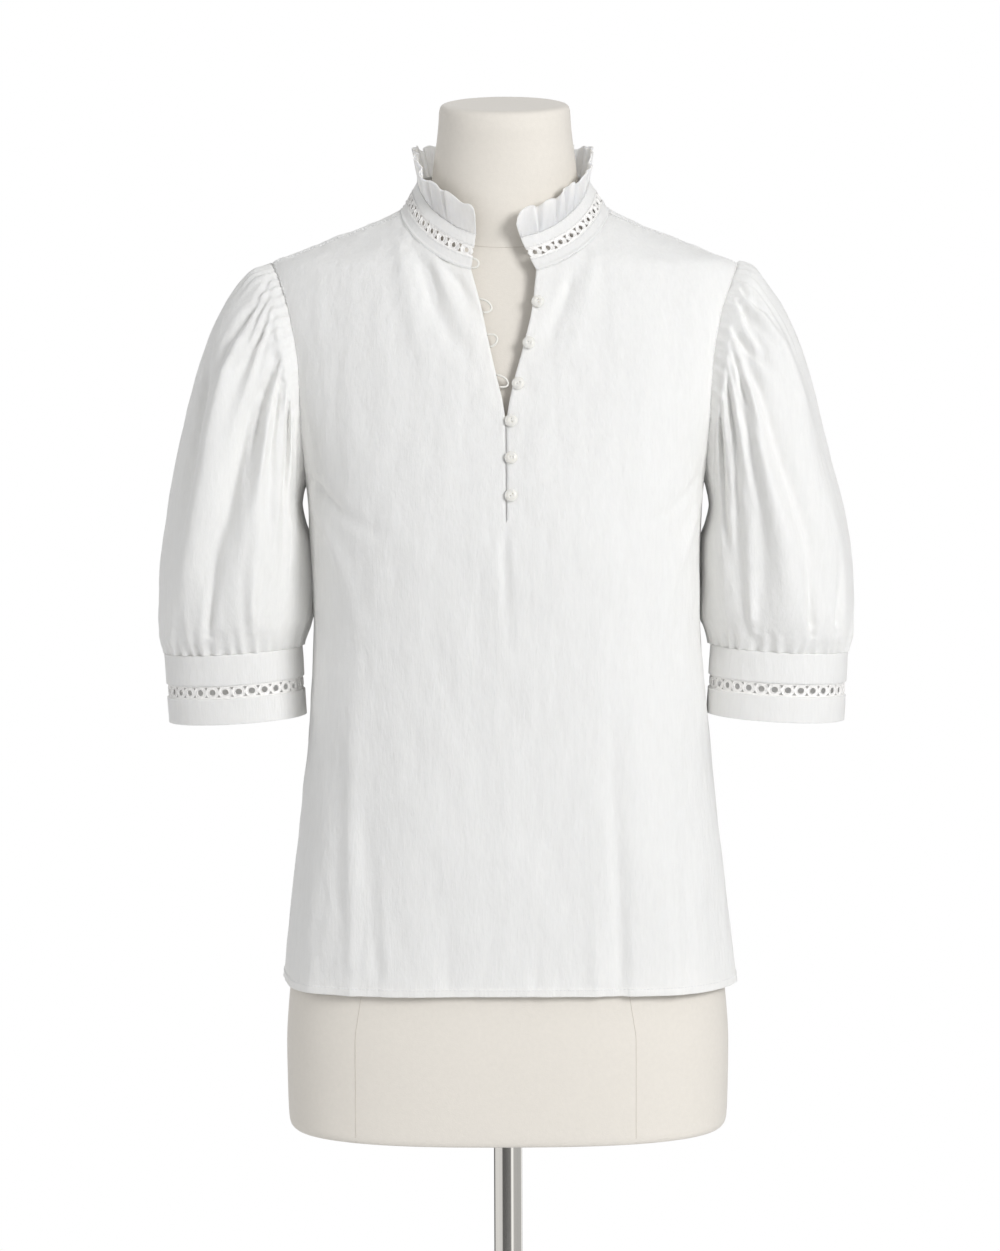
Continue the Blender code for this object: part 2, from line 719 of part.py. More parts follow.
def ruffle_point(along, up):
    """The ruffle, waved along its length and rounded at its two front corners."""
    around, tall = collar_size()
    seat = collar_point(along, 1 + SEAM_GAP / tall)
    turn = COLLAR_RIGHT_END.top + (360 - COLLAR_LEFT_END.top - COLLAR_RIGHT_END.top) * along
    outward = Vector((sin(radians(turn)), -cos(radians(turn)), 0))
    from_end = min(along, 1 - along) * around
    rounding = 1.0
    if from_end < RUFFLE_CORNER:
        rise = sqrt(1 - (1 - from_end / RUFFLE_CORNER) ** 2)
        rounding = RUFFLE_END_HEIGHT + (1 - RUFFLE_END_HEIGHT) * rise
    phase = 2 * pi * RUFFLE_WAVES * along + 0.6 * sin(7 * along) + 0.5 * sin(2 * pi * 5 * along)
    size = 0.75 + 0.25 * sin(2 * pi * 3 * along + 1.0)
    opened = RUFFLE_FOOT_SWING + (1 - RUFFLE_FOOT_SWING) * up
    swing = RUFFLE_SWING * size * sin(phase) * opened
    lift = RUFFLE_HEIGHT * up * rounding * (1 + 0.05 * sin(phase * 0.5 + 1))
    return seat + outward * (RUFFLE_FLARE * up + swing + RUFFLE_FOOT_OUT) + Vector((0, 0, lift))


def make_ruffle(name, look, collection):
    levels = 3
    points = []
    for level in range(levels):
        up = level / (levels - 1)
        points += [ruffle_point(k / RUFFLE_STEPS, up) for k in range(RUFFLE_STEPS + 1)]
    faces = grid_faces(RUFFLE_STEPS + 1, levels)
    return wall(name, points, faces, CLOTH, look, collection)


# Buttons and loops
def front_frame(x, z):
    """A point of the front's outer face, with its normal and the directions on it."""
    point = on_face(x, z)
    normal = share_slope(WORN, point).normalized()
    across = Vector((0, 0, 1)).cross(normal).normalized()
    return point, normal, across, normal.cross(across).normalized()


def turned(name, profile, segments, look, collection):
    """A solid of revolution about Z, from a profile of radius and height."""
    mesh = bpy.data.meshes.new(name)
    edges = [(k, k + 1) for k in range(len(profile) - 1)]
    mesh.from_pydata([(r, 0, h) for r, h in profile], edges, [])
    made = add_object(name, mesh, look, collection)
    screw = made.modifiers.new("turn", "SCREW")
    screw.steps = segments
    screw.render_steps = segments
    screw.use_merge_vertices = True
    screw.merge_threshold = 0.00001
    return made


def make_button(name, button, look, collection):
    x = slit_edge(button.z, 1) + BUTTON_INSET
    point, normal, across, up = front_frame(x, button.z)
    top = BUTTON_STAND + BUTTON_RIM
    profile = (
        (0.0, top + BUTTON_DOME),
        (BUTTON_RADIUS * 0.55, top + BUTTON_DOME * 0.72),
        (BUTTON_RADIUS * 0.92, top),
        (BUTTON_RADIUS, BUTTON_STAND + BUTTON_RIM * 0.4),
        (BUTTON_RADIUS * 0.80, BUTTON_STAND),
        (SHANK_RADIUS, BUTTON_STAND),
        (SHANK_RADIUS, SEAM_GAP),
        (0.0, SEAM_GAP),
    )
    made = turned(name, profile, 10, look, collection)
    made.location = point
    made.rotation_euler = normal.to_track_quat("Z", "Y").to_euler()
    return made


def tube(name, path, radius, look, collection):
    """A thin thread along a path, as a curve with filled caps."""
    curve = bpy.data.curves.new(name, "CURVE")
    curve.dimensions = "3D"
    curve.bevel_depth = radius
    curve.bevel_resolution = 1
    curve.use_fill_caps = True
    spline = curve.splines.new("POLY")
    spline.points.add(len(path) - 1)
    for spot, place in zip(spline.points, path):
        spot.co = (*place, 1.0)
    made = bpy.data.objects.new(name, curve)
    made.data.materials.append(look)
    collection.objects.link(made)
    weld = made.modifiers.new("weld", "WELD")
    weld.merge_threshold = 0.00001
    return made


def half_round(share):
    """Across and along of a thread's turn: out, round and back."""
    turn = pi * share
    return sin(turn), cos(turn)


def make_slit_loop(name, loop, look, collection):
    """A loop that hangs free in the slit, both its ends at the slit's edge."""
    path = []
    for k in range(LOOP_STEPS):
        out, rise = half_round(k / (LOOP_STEPS - 1))
        z = loop.z + loop.spread * rise - loop.drop * out
        x = made_edge(z, -1) + LOOP_START + loop.reach * out ** 0.8
        point, normal, _, _ = front_frame(x, z)
        path.append(point - normal * CLOTH / 2)
    return tube(name, path, LOOP_RADIUS, look, collection)


def make_collar_loop(name, loop, look, collection):
    """The loop at the foot of the collar's end, in line with the band."""
    middle = COLLAR_LOWER * COLLAR_LOOP_SHARE
    end = collar_point(1.0, middle)
    across = (end - collar_point(0.99, middle)).normalized()
    up = (collar_point(1.0, 1.0) - collar_point(1.0, 0.0)).normalized()
    inward = up.cross(across).normalized()
    start = end + across * LOOP_START + inward * BAND_CLOTH / 2
    path = []
    for k in range(LOOP_STEPS):
        out, rise = half_round(k / (LOOP_STEPS - 1))
        offset = across * loop.reach * out ** 0.8 + up * (loop.spread * rise - loop.drop * out)
        path.append(start + offset)
    return tube(name, path, LOOP_RADIUS, look, collection)


def make_fastened_loop(name, button, look, collection):
    """A loop that crosses the slit and runs round the shank of its button."""
    edge = slit_edge(button.z, -1)
    shank = slit_edge(button.z, 1) + BUTTON_INSET
    half = SHANK_RADIUS + LOOP_RADIUS + SEAM_GAP
    path = []
    for k in range(LOOP_STEPS):
        out, rise = half_round(k / (LOOP_STEPS - 1))
        x = edge + LOOP_START + (shank - edge + half - LOOP_START) * out ** 0.7
        z = button.z + half * 1.15 * rise
        point, normal, _, _ = front_frame(x, z)
        path.append(point + normal * (LOOP_RADIUS + SEAM_GAP))
    return tube(name, path, LOOP_RADIUS, look, collection)


# Dress form and stand
def form_body():
    """The form's sections: its own below the bust, and the cloth's less its ease above."""

    def eased(row, ease):
        sizes = [max(size - ease, THINNEST) for size in (row.half_width, row.front, row.back)]
        return Section(row.z, *sizes, row.square)

    upper = []
    for row in GARMENT:
        if row.z > FORM_BELOW[-1].z:
            climb = max((row.z - ARMPIT) / (SHOULDER_TIP - ARMPIT), 0)
            upper.append(eased(row, CLOTH + CHEST_EASE + (SHOULDER_EASE - CHEST_EASE) * climb))
    neck = []
    for row in NECK:
        ease = NECK_EASE if row.z > NECK[5].z else NECK_FOOT_EASE
        neck.append(eased(row, CLOTH + ease))
    return (*FORM_BELOW, *upper), tuple(neck)


def make_form(name, look, collection):
    body = form_body()
    heights = [row.z for row in body[0] if row.z < FORM_STEPS_FROM]
    fine = ceil((NECK[5].z - FORM_STEPS_FROM) / FORM_STEP)
    heights += [FORM_STEPS_FROM + FORM_STEP * k for k in range(fine)]
    heights += [row.z for row in NECK if row.z > heights[-1] + 0.001]
    points = []
    for z in heights:
        tilt = NECK_TILT * min(max((z - NECK_TILT_START) / (NECK_TOP - NECK_TILT_START), 0), 1)
        for k in range(FORM_SEGMENTS):
            spot = torso_point(body, 360 * k / FORM_SEGMENTS, z)
            spot.z += (spot.y - NECK_MIDDLE) * tan(radians(tilt))
            points.append(spot)
    faces = grid_faces(FORM_SEGMENTS, len(heights), closed=True)
    faces.append(tuple(reversed(range(FORM_SEGMENTS))))
    last = FORM_SEGMENTS * (len(heights) - 1)
    faces.append(tuple(last + k for k in range(FORM_SEGMENTS)))
    mesh = bpy.data.meshes.new(name)
    mesh.from_pydata([tuple(p) for p in points], [], faces)
    return add_object(name, mesh, look, collection)


def make_pole(name, look, collection):
    bottom = BASE_HEIGHT + SOCKET_HEIGHT - SOCKET_DEPTH
    top = FORM_BOTTOM - SEAM_GAP
    mesh = bpy.data.meshes.new(name)
    shape = bmesh.new()
    bmesh.ops.create_cone(
        shape, cap_ends=True, segments=24, radius1=POLE_RADIUS, radius2=POLE_RADIUS, depth=top - bottom
    )
    shape.to_mesh(mesh)
    shape.free()
    made = add_object(name, mesh, look, collection)
    made.location = (0, 0, (top + bottom) / 2)
    return made


def make_base(name, look, collection):
    """A round plate with a low socket, hollow where the pole stands in it."""
    floor = BASE_HEIGHT + SOCKET_HEIGHT - SOCKET_DEPTH - SEAM_GAP
    bore = POLE_RADIUS + SEAM_GAP
    profile = (
        (0.0, floor),
        (bore, floor),
        (bore, BASE_HEIGHT + SOCKET_HEIGHT),
        (SOCKET_RADIUS - SOCKET_CHAMFER, BASE_HEIGHT + SOCKET_HEIGHT),
        (SOCKET_RADIUS, BASE_HEIGHT + SOCKET_HEIGHT - SOCKET_CHAMFER),
        (SOCKET_RADIUS, BASE_HEIGHT + BASE_CROWN),
        (SOCKET_RADIUS + SOCKET_FOOT, BASE_HEIGHT),
        (BASE_RADIUS - BASE_EDGE, BASE_HEIGHT - BASE_CROWN),
        (BASE_RADIUS, BASE_HEIGHT - BASE_CROWN - BASE_EDGE),
        (BASE_RADIUS, 0.0),
        (0.0, 0.0),
    )
    return turned(name, profile, 32, look, collection)


def main():
    for old in list(bpy.data.objects):
        bpy.data.objects.remove(old, do_unlink=True)
    parts = bpy.data.collections.new(PARTS_NAME)
    bpy.context.scene.collection.children.link(parts)

    cloth = material("white_cloth", (0.86, 0.86, 0.87), 0.85)
    band = material("white_band", (0.88, 0.88, 0.88), 0.80)
    lace = material("white_lace", (0.90, 0.90, 0.88), 0.75)
    pearl = material("pearly_button", (0.90, 0.89, 0.87), 0.22)
    thread = material("pale_thread", (0.88, 0.87, 0.83), 0.60)
    linen = material("ivory_form_cloth", (0.86, 0.84, 0.79), 0.80)
    steel = material("brushed_steel", (0.52, 0.50, 0.48), 0.28, 1.0)
    plate = material("painted_base", (0.80, 0.79, 0.77), 0.40)

    make_form("dress_form", linen, parts)
    make_pole("pole", steel, parts)
    make_base("base", plate, parts)

    make_panel("front", False, cloth, parts)
    make_panel("back", True, cloth, parts)
    for side, word in ((1, "left"), (-1, "right")):
        make_sleeve(f"sleeve_{word}", side, cloth, parts)
        make_cuff_band(f"cuff_{word}_upper", side, 0.0, CUFF_UPPER, band, parts)
        make_cuff_lace(f"cuff_{word}_lace_front", side, True, lace, parts)
        make_cuff_lace(f"cuff_{word}_lace_back", side, False, lace, parts)
        make_cuff_band(f"cuff_{word}_lower", side, CUFF_LACE, CUFF_BOTTOM, band, parts)

    tall = collar_size()[1]
    make_collar_band("collar_lower", FOOT_GAP / tall, COLLAR_LOWER, band, parts)
    make_collar_lace("collar_lace", lace, parts)
    make_collar_band("collar_upper", COLLAR_LACE, 1.0, band, parts)
    make_ruffle("collar_ruffle", cloth, parts)

    for number, button in enumerate(BUTTONS, start=1):
        make_button(f"button_{number}", button, pearl, parts)
    for number, loop in enumerate(LOOPS, start=1):
        make_slit_loop(f"loop_{number}", loop, thread, parts)
    fastened = [button for button in BUTTONS if button.fastened]
    for number, button in enumerate(fastened, start=len(LOOPS) + 1):
        make_fastened_loop(f"loop_{number}", button, thread, parts)
    make_collar_loop("loop_collar", COLLAR_LOOP, thread, parts)


main()
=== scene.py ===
"""The looks of a white blouse with a ruffled stand collar, on its dress form and stand.

Metres, +Z up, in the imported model's frame. Each cloth piece follows the sections,
rings and seams that its solid was made from, on a finer grid, with its folds,
gathers and stitches added. The wearer's left is +X and the front faces -Y.
"""

from collections import namedtuple
from math import cos, pi, radians, sin

import bmesh
import bpy
import numpy as np
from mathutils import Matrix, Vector, noise


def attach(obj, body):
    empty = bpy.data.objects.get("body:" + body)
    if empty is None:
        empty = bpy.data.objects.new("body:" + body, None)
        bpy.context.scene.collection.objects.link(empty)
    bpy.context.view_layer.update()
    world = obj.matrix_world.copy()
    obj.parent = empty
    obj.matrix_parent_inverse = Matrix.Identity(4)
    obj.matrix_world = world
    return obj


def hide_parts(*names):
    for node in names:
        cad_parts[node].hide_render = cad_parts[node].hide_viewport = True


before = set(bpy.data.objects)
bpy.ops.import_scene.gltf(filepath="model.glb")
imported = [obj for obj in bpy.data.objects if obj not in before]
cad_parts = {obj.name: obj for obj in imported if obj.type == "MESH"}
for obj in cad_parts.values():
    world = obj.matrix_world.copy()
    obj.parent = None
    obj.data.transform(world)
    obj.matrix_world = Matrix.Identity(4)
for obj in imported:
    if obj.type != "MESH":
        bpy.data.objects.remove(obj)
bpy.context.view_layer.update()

# Sizes, most of them shared with the solids
FORM_BOTTOM = 0.635
NECK_TOP = 1.436
BASE_RADIUS = 0.190
BASE_HEIGHT = 0.014
BASE_EDGE = 0.004
SOCKET_RADIUS = 0.020
SOCKET_HEIGHT = 0.045
POLE_RADIUS = 0.0112
CLOTH = 0.0012
BAND_CLOTH = 0.0014
SEAM_GAP = 0.0003
CHEST_EASE = 0.0031
NECK_EASE = 0.0012
NECK_FOOT_EASE = 0.0036
NECK_EASE_TOP = 1.395
NECK_EASE_FOOT = 1.338
SHOULDER_EASE = 0.0115
HEM_SIDE = 0.7485
HEM_FRONT = 0.7545
HEM_LIFT = 0.0048
HEM_LIFT_WIDTH = 0.30
ARMPIT = 1.1425
SHOULDER_TIP = 1.3126
SLIT_BOTTOM = 1.117
NECK_HALF = 0.080
NECK_SIDE = 1.352
NECK_FRONT_DROP = 0.048
NECK_BACK_RISE = 0.006
SHOULDER_SEAM_AT_NECK = 84.0
SHOULDER_SEAM_AT_TIP = 10.0

# Level sections of the torso under the cloth's outer face, trunk and neck column apart
Section = namedtuple("Section", "z half_width front back square")
GARMENT = (
    Section(0.7400, 0.1762, 0.1060, 0.1045, 2.6),
    Section(0.8300, 0.1685, 0.1090, 0.1030, 2.6),
    Section(0.9380, 0.1560, 0.1125, 0.0975, 2.5),
    Section(1.0370, 0.1504, 0.1165, 0.0945, 2.5),
    Section(1.0950, 0.1514, 0.1190, 0.0965, 2.5),
    Section(1.1425, 0.1545, 0.1140, 0.1000, 2.5),
    Section(1.1900, 0.1655, 0.1035, 0.1010, 2.5),
    Section(1.2300, 0.1755, 0.0945, 0.0990, 2.4),
    Section(1.2650, 0.1825, 0.0855, 0.0940, 2.3),
    Section(1.2900, 0.1850, 0.0775, 0.0870, 2.15),
    Section(1.3060, 0.1830, 0.0722, 0.0805, 2.0),
    Section(1.3126, 0.1790, 0.0695, 0.0770, 1.95),
    Section(1.3220, 0.1570, 0.0640, 0.0710, 1.85),
    Section(1.3320, 0.1310, 0.0560, 0.0620, 1.8),
    Section(1.3420, 0.1050, 0.0430, 0.0490, 1.8),
    Section(1.3520, 0.0785, 0.0280, 0.0330, 1.9),
    Section(1.3640, 0.0600, 0.0200, 0.0200, 2.0),
    Section(1.3850, 0.0300, 0.0100, 0.0100, 2.0),
)
NECK = (
    Section(1.2600, 0.0200, 0.0200, 0.0200, 2.0),
    Section(1.3000, 0.0380, 0.0400, 0.0400, 2.0),
    Section(1.3200, 0.0520, 0.0545, 0.0540, 2.0),
    Section(1.3350, 0.0590, 0.0612, 0.0600, 2.0),
    Section(1.3520, 0.0615, 0.0628, 0.0590, 2.0),
    Section(1.3640, 0.0612, 0.0622, 0.0560, 2.0),
    Section(1.3730, 0.0600, 0.0614, 0.0530, 2.0),
    Section(1.3880, 0.0576, 0.0612, 0.0495, 2.0),
    Section(1.4080, 0.0546, 0.0629, 0.0444, 2.0),
    Section(1.4230, 0.0533, 0.0650, 0.0412, 2.0),
    Section(1.4290, 0.0530, 0.0650, 0.0409, 2.0),
    Section(1.4318, 0.0526, 0.0647, 0.0405, 2.0),
    Section(1.4340, 0.0516, 0.0637, 0.0395, 2.0),
    Section(1.4353, 0.0498, 0.0619, 0.0377, 2.0),
    Section(1.4360, 0.0468, 0.0588, 0.0348, 2.0),
)
FORM_BELOW = (
    Section(0.6350, 0.1655, 0.0980, 0.0980, 2.7),
    Section(0.6360, 0.1700, 0.1010, 0.1010, 2.75),
    Section(0.6390, 0.1722, 0.1026, 0.1024, 2.75),
    Section(0.6450, 0.1731, 0.1032, 0.1030, 2.7),
    Section(0.6600, 0.1737, 0.1036, 0.1034, 2.65),
    Section(0.7000, 0.1743, 0.1040, 0.1035, 2.6),
    Section(0.7400, 0.1718, 0.1020, 0.1020, 2.6),
    Section(0.8000, 0.1640, 0.0985, 0.0985, 2.5),
    Section(0.8600, 0.1500, 0.0935, 0.0900, 2.4),
    Section(0.9150, 0.1335, 0.0890, 0.0810, 2.3),
    Section(0.9600, 0.1245, 0.0885, 0.0765, 2.3),
    Section(1.0050, 0.1290, 0.0960, 0.0785, 2.3),
    Section(1.0500, 0.1390, 0.1080, 0.0850, 2.4),
)
# How sharply trunk and neck column run into one another, and the slack in heights
BLEND = 6
ROUNDING = 1e-6
THINNEST = 0.004
NECK_TILT_START = 1.352
NECK_TILT = 9.0
NECK_MIDDLE = -0.0125

Edge = namedtuple("Edge", "z left right")
SLIT = (
    Edge(1.1170, -0.0001, 0.0001),
    Edge(1.1270, -0.0002, 0.0002),
    Edge(1.1900, -0.0002, 0.0003),
    Edge(1.2060, -0.0020, 0.0024),
    Edge(1.2230, -0.0060, 0.0062),
    Edge(1.2500, -0.0122, 0.0136),
    Edge(1.2780, -0.0182, 0.0202),
    Edge(1.3070, -0.0259, 0.0236),
)
Ends = namedtuple("Ends", "foot top")
COLLAR_LEFT_END = Ends(18.9, 19.3)
COLLAR_RIGHT_END = Ends(17.2, 10.2)
COLLAR_HALF_LEFT = 0.0655
COLLAR_HALF_RIGHT = 0.0675
COLLAR_SIDE = 1.375
COLLAR_FRONT_DROP = 0.0445
COLLAR_FRONT_DEPTH = 0.0705
COLLAR_BACK_DEPTH = 0.0585
COLLAR_LOWER = 0.33
COLLAR_LACE = 0.66
COLLAR_CELLS = 38
RUFFLE_HEIGHT = 0.0225
RUFFLE_FLARE = 0.0042
RUFFLE_SEAT = 0.97
RUFFLE_BEHIND = 0.0007
RUFFLE_BACK_RISE = 0.0026
RUFFLE_CALM = 0.55

Ring = namedtuple("Ring", "outer_x outer_z inner_x inner_z front back armhole gather fold")
SLEEVE_RINGS = (
    Ring(0.1795, 1.3126, 0.1545, 1.1425, 0.050, 0.056, 1.0, 0.0009, 0.0000),
    Ring(0.1925, 1.3100, 0.1578, 1.1310, 0.060, 0.064, 0.8, 0.0026, 0.0006),
    Ring(0.2080, 1.2935, 0.1592, 1.1190, 0.067, 0.070, 0.4, 0.0026, 0.0016),
    Ring(0.2240, 1.2660, 0.1580, 1.1070, 0.071, 0.074, 0.1, 0.0016, 0.0028),
    Ring(0.2400, 1.2190, 0.1546, 1.0930, 0.073, 0.076, 0.0, 0.0008, 0.0040),
    Ring(0.2520, 1.1690, 0.1538, 1.0790, 0.073, 0.075, 0.0, 0.0004, 0.0046),
    Ring(0.2640, 1.1200, 0.1536, 1.0640, 0.071, 0.073, 0.0, 0.0004, 0.0044),
    Ring(0.2705, 1.0740, 0.1536, 1.0500, 0.067, 0.069, 0.0, 0.0008, 0.0036),
    Ring(0.2720, 1.0380, 0.1546, 1.0350, 0.061, 0.063, 0.0, 0.0016, 0.0026),
    Ring(0.2712, 1.0220, 0.1582, 1.0240, 0.054, 0.056, 0.0, 0.0022, 0.0012),
    Ring(0.2668, 1.0090, 0.1612, 1.0130, 0.0455, 0.0455, 0.0, 0.0009, 0.0000),
)
LAST_RING = len(SLEEVE_RINGS) - 1
CAP_REACH = 115.0
SLEEVE_CREASING = 2.5
BULGE = 0.0034
BULGE_TURN = 184.0
BULGE_WIDTH = 24.0
BULGE_FIRST = 1.8
BULGE_LAST = 9.2
BULGE_FADE = 1.6
SLEEVE_FOLDS = 7
SLEEVE_PHASE = 0.9
SLEEVE_TWIST = 0.35
FOLD_KEEP = 0.55
# The sleeve's inner side, next to the body, by the cosine of the turn
INNER_AHEAD = -0.75
INNER_KEEP = 0.3
# Creases and crumples fade over so many rings at both ends
CALM_RINGS = 0.8
HEAD_TUCK = 0.0010
HEAD_TUCK_RINGS = 0.16
HEAD_INWARD = 0.0012
CUFF_TUCK = 0.0016
CUFF_TUCK_RINGS = 0.12

CUFF_X = 0.2140
CUFF_TOP = 1.0110
CUFF_HALF_WIDTH = 0.0528
CUFF_HALF_DEPTH = 0.0455
CUFF_TILT = 3.2
CUFF_UPPER = 0.0238
CUFF_LACE = 0.0341
CUFF_BOTTOM = 0.0542
CUFF_CELLS = 32

Button = namedtuple("Button", "z fastened")
BUTTONS = (
    Button(1.2822, False),
    Button(1.2514, False),
    Button(1.2212, False),
    Button(1.1935, True),
    Button(1.1660, True),
    Button(1.1380, True),
)
BUTTON_INSET = 0.0036
BUTTON_RADIUS = 0.0049
BUTTON_STAND = 0.0021
BUTTON_RIM = 0.0012
BUTTON_DOME = 0.0013
SHANK_RADIUS = 0.0010
Loop = namedtuple("Loop", "z reach spread drop")
LOOPS = (
    Loop(1.2800, 0.0078, 0.0050, 0.0010),
    Loop(1.2535, 0.0070, 0.0045, -0.0020),
    Loop(1.2235, 0.0076, 0.0045, 0.0012),
)
COLLAR_LOOP = Loop(1.3125, 0.0052, 0.0036, -0.0006)
COLLAR_LOOP_AT = 0.55
LOOP_RADIUS = 0.0008
LOOP_STEPS = 25

# Fineness of the meshes
PANEL_COLUMNS = 78
PANEL_ROWS_BELOW = 118
PANEL_ROWS_ABOVE = 84
NECK_SHARE = 0.5
# The grid is evened out under the neck and the shoulders, from this share up
EVEN_FROM = 0.66
EVEN_ROUNDS = 60
SLEEVE_AROUND = 340
SLEEVE_ALONG = 130
FORM_AROUND = 144
CUFF_AROUND = 192
COLLAR_ALONG = 228
RUFFLE_ALONG = 560
RUFFLE_UP = 14

SHEET_CLOTH = 0.0007
HEM_TALL = 0.0058
HEM_RISE = 0.0005
# Heights of the rows of points over the hem's fold and its stitches
HEM_ROWS = (0, 0.0008, 0.0020, 0.0034, 0.0046, 0.0055, 0.0062, 0.0072, 0.0086)
BODY_STAND_OFF = 0.0008
BODY_CREASING = 1.7
DEEPEST = -0.0028
HANG_TO_LEFT = 0.0020
HANG_FROM = 1.06
HANG_OVER = 0.12
# How far the shoulders and the form's cap sit below those of the solids, how far the
# sleeves' heads lie to one side, and where both begin, out from the middle and up
SETTLE_LEFT = 0.0026
SETTLE_RIGHT = 0.0012
SLEEVES_ASIDE = 0.0018
CAP_LOWER = 0.0024
CAP_FROM = 1.400
CAP_OVER = 0.03
NECK_OUT = 0.082
NECK_OVER = 0.025
SHOULDER_OUT = 0.178
SHOULDER_OVER = 0.03
SETTLE_FROM = 1.24
SETTLE_OVER = 0.05
ASIDE_FROM = 1.12
ASIDE_OVER = 0.06

# Layers of soft random relief: size, grain by axis and seed
Crumple = namedtuple("Crumple", "size scale seed")
BODY_CRUMPLE = (
    Crumple(0.0017, (16, 16, 7), 1),
    Crumple(0.0011, (55, 55, 20), 2),
    Crumple(0.0006, (150, 150, 42), 3),
)
SLEEVE_CRUMPLE = (
    Crumple(0.0018, (20, 20, 9), 0),
    Crumple(0.0009, (60, 60, 22), 1),
    Crumple(0.0004, (170, 170, 50), 2),
)
CUFF_CRUMPLE = (Crumple(0.00035, (60, 60, 60), 5), Crumple(0.0002, (190, 190, 130), 8))
COLLAR_CRUMPLE = (Crumple(0.0004, (70, 70, 70), 11), Crumple(0.0002, (210, 210, 210), 12))
RUFFLE_CRUMPLE = (Crumple(0.0004, (140, 140, 70), 15),)
HEM_PUCKER = (Crumple(0.0005, (130, 130, 20), 4),)

# The body's long folds, by angle round it in degrees
Fold = namedtuple("Fold", "hem_angle top_angle top_z size width")
FOLD_FADE = 1.3
BODY_FOLDS = (
    Fold(-58.0, -40.0, 1.16, 0.0040, 9.0),
    Fold(-84.0, -78.0, 1.06, 0.0030, 8.0),
    Fold(-20.0, -16.0, 0.98, 0.0018, 10.0),
    Fold(40.0, 30.0, 1.12, 0.0042, 9.0),
    Fold(72.0, 62.0, 1.10, 0.0034, 8.0),
    Fold(12.0, 12.0, 0.95, 0.0016, 9.0),
    Fold(118.0, 128.0, 1.12, 0.0040, 9.0),
    Fold(152.0, 158.0, 1.20, 0.0045, 9.0),
    Fold(196.0, 194.0, 1.16, 0.0036, 9.0),
    Fold(236.0, 228.0, 1.18, 0.0042, 9.0),
)

# A shaped line in the cloth, with its route in x and z
Crease = namedtuple("Crease", "route size width back")


def creases(back, *rows):
    """Creases placed on the front or the back, from rows in millimetres.

    A row has the size, which is negative for a trough, the width, and then the x and z
    of the route by turns, from its strong end to where it dies out.
    """
    made = []
    for size, width, *way in rows:
        route = tuple((x / 1000, z / 1000) for x, z in zip(way[::2], way[1::2]))
        made.append(Crease(route, size / 1000, width / 1000, back))
    return tuple(made)


FRONT_CREASES = creases(
    False,
    (-2.6, 7.5, -66, 1318, -57, 1297, -50, 1274, -36, 1250, -20, 1226),
    (1.6, 6, -54, 1314, -44, 1292, -34, 1272, -22, 1248),
    (-1.8, 4.8, -42, 1306, -36, 1298, -30, 1288, -21, 1270),
    (1.6, 10, -80, 1322, -74, 1290, -64, 1255, -50, 1220),
    (-1.4, 6.5, 52, 1305, 46, 1285, 36, 1262, 22, 1236),
    (1.2, 8, 68, 1318, 62, 1285, 52, 1250, 36, 1215),
    (-1.4, 4.5, 0, 1114, -1, 1090, 1, 1050, 3, 1000),
    (-1.6, 6, -149, 1150, -130, 1128, -105, 1112, -80, 1104),
    (1.8, 9, -150, 1135, -135, 1105, -120, 1070, -112, 1020),
    (-1.5, 5.8, 150, 1150, 132, 1130, 108, 1116, 85, 1110),
    (1.6, 9, 151, 1132, 138, 1100, 124, 1060, 118, 1005),
    (2, 9, -121, 752, -120, 830, -118, 940, -112, 1060),
    (-1.6, 7, -100, 752, -104, 830, -104, 900),
    (-2, 7.5, 86, 752, 84, 820, 80, 910, 78, 1000),
    (1.6, 8, 66, 752, 66, 810, 64, 870),
    (-1.6, 8, 136, 752, 134, 830, 130, 900),
    (-1, 8, -46, 752, -48, 800, -47, 860),
    (-0.9, 7, 20, 753, 21, 790, 24, 840),
)
BACK_CREASES = creases(
    True,
    (1.3, 9, -58, 1312, -54, 1290, -50, 1255, -48, 1200),
    (1.2, 8.5, 62, 1308, 58, 1282, 54, 1240),
    (-1.2, 7, 20, 1322, 22, 1300, 26, 1260),
    (-1, 6, -23, 1324, -26, 1308, -30, 1285),
    (-1.8, 6.5, -152, 1150, -128, 1128, -98, 1116, -70, 1112),
    (-1.4, 6, -150, 1128, -130, 1100, -104, 1082),
    (-1.7, 6.2, 152, 1148, 130, 1124, 104, 1112, 74, 1110),
    (1.8, 9, 151, 1120, 132, 1086, 116, 1040, 110, 980),
    (1.7, 8.5, -150, 1110, -136, 1066, -126, 1010, -122, 950),
    (-2, 9, -90, 748, -88, 830, -80, 950, -70, 1080),
    (-1.8, 8.5, -20, 748, -16, 820, -10, 930),
    (-2, 9, 48, 748, 46, 840, 40, 980, 30, 1100),
    (1.7, 8, 108, 748, 106, 820, 100, 920),
    (1.5, 8, -130, 748, -128, 820, -122, 900),
)
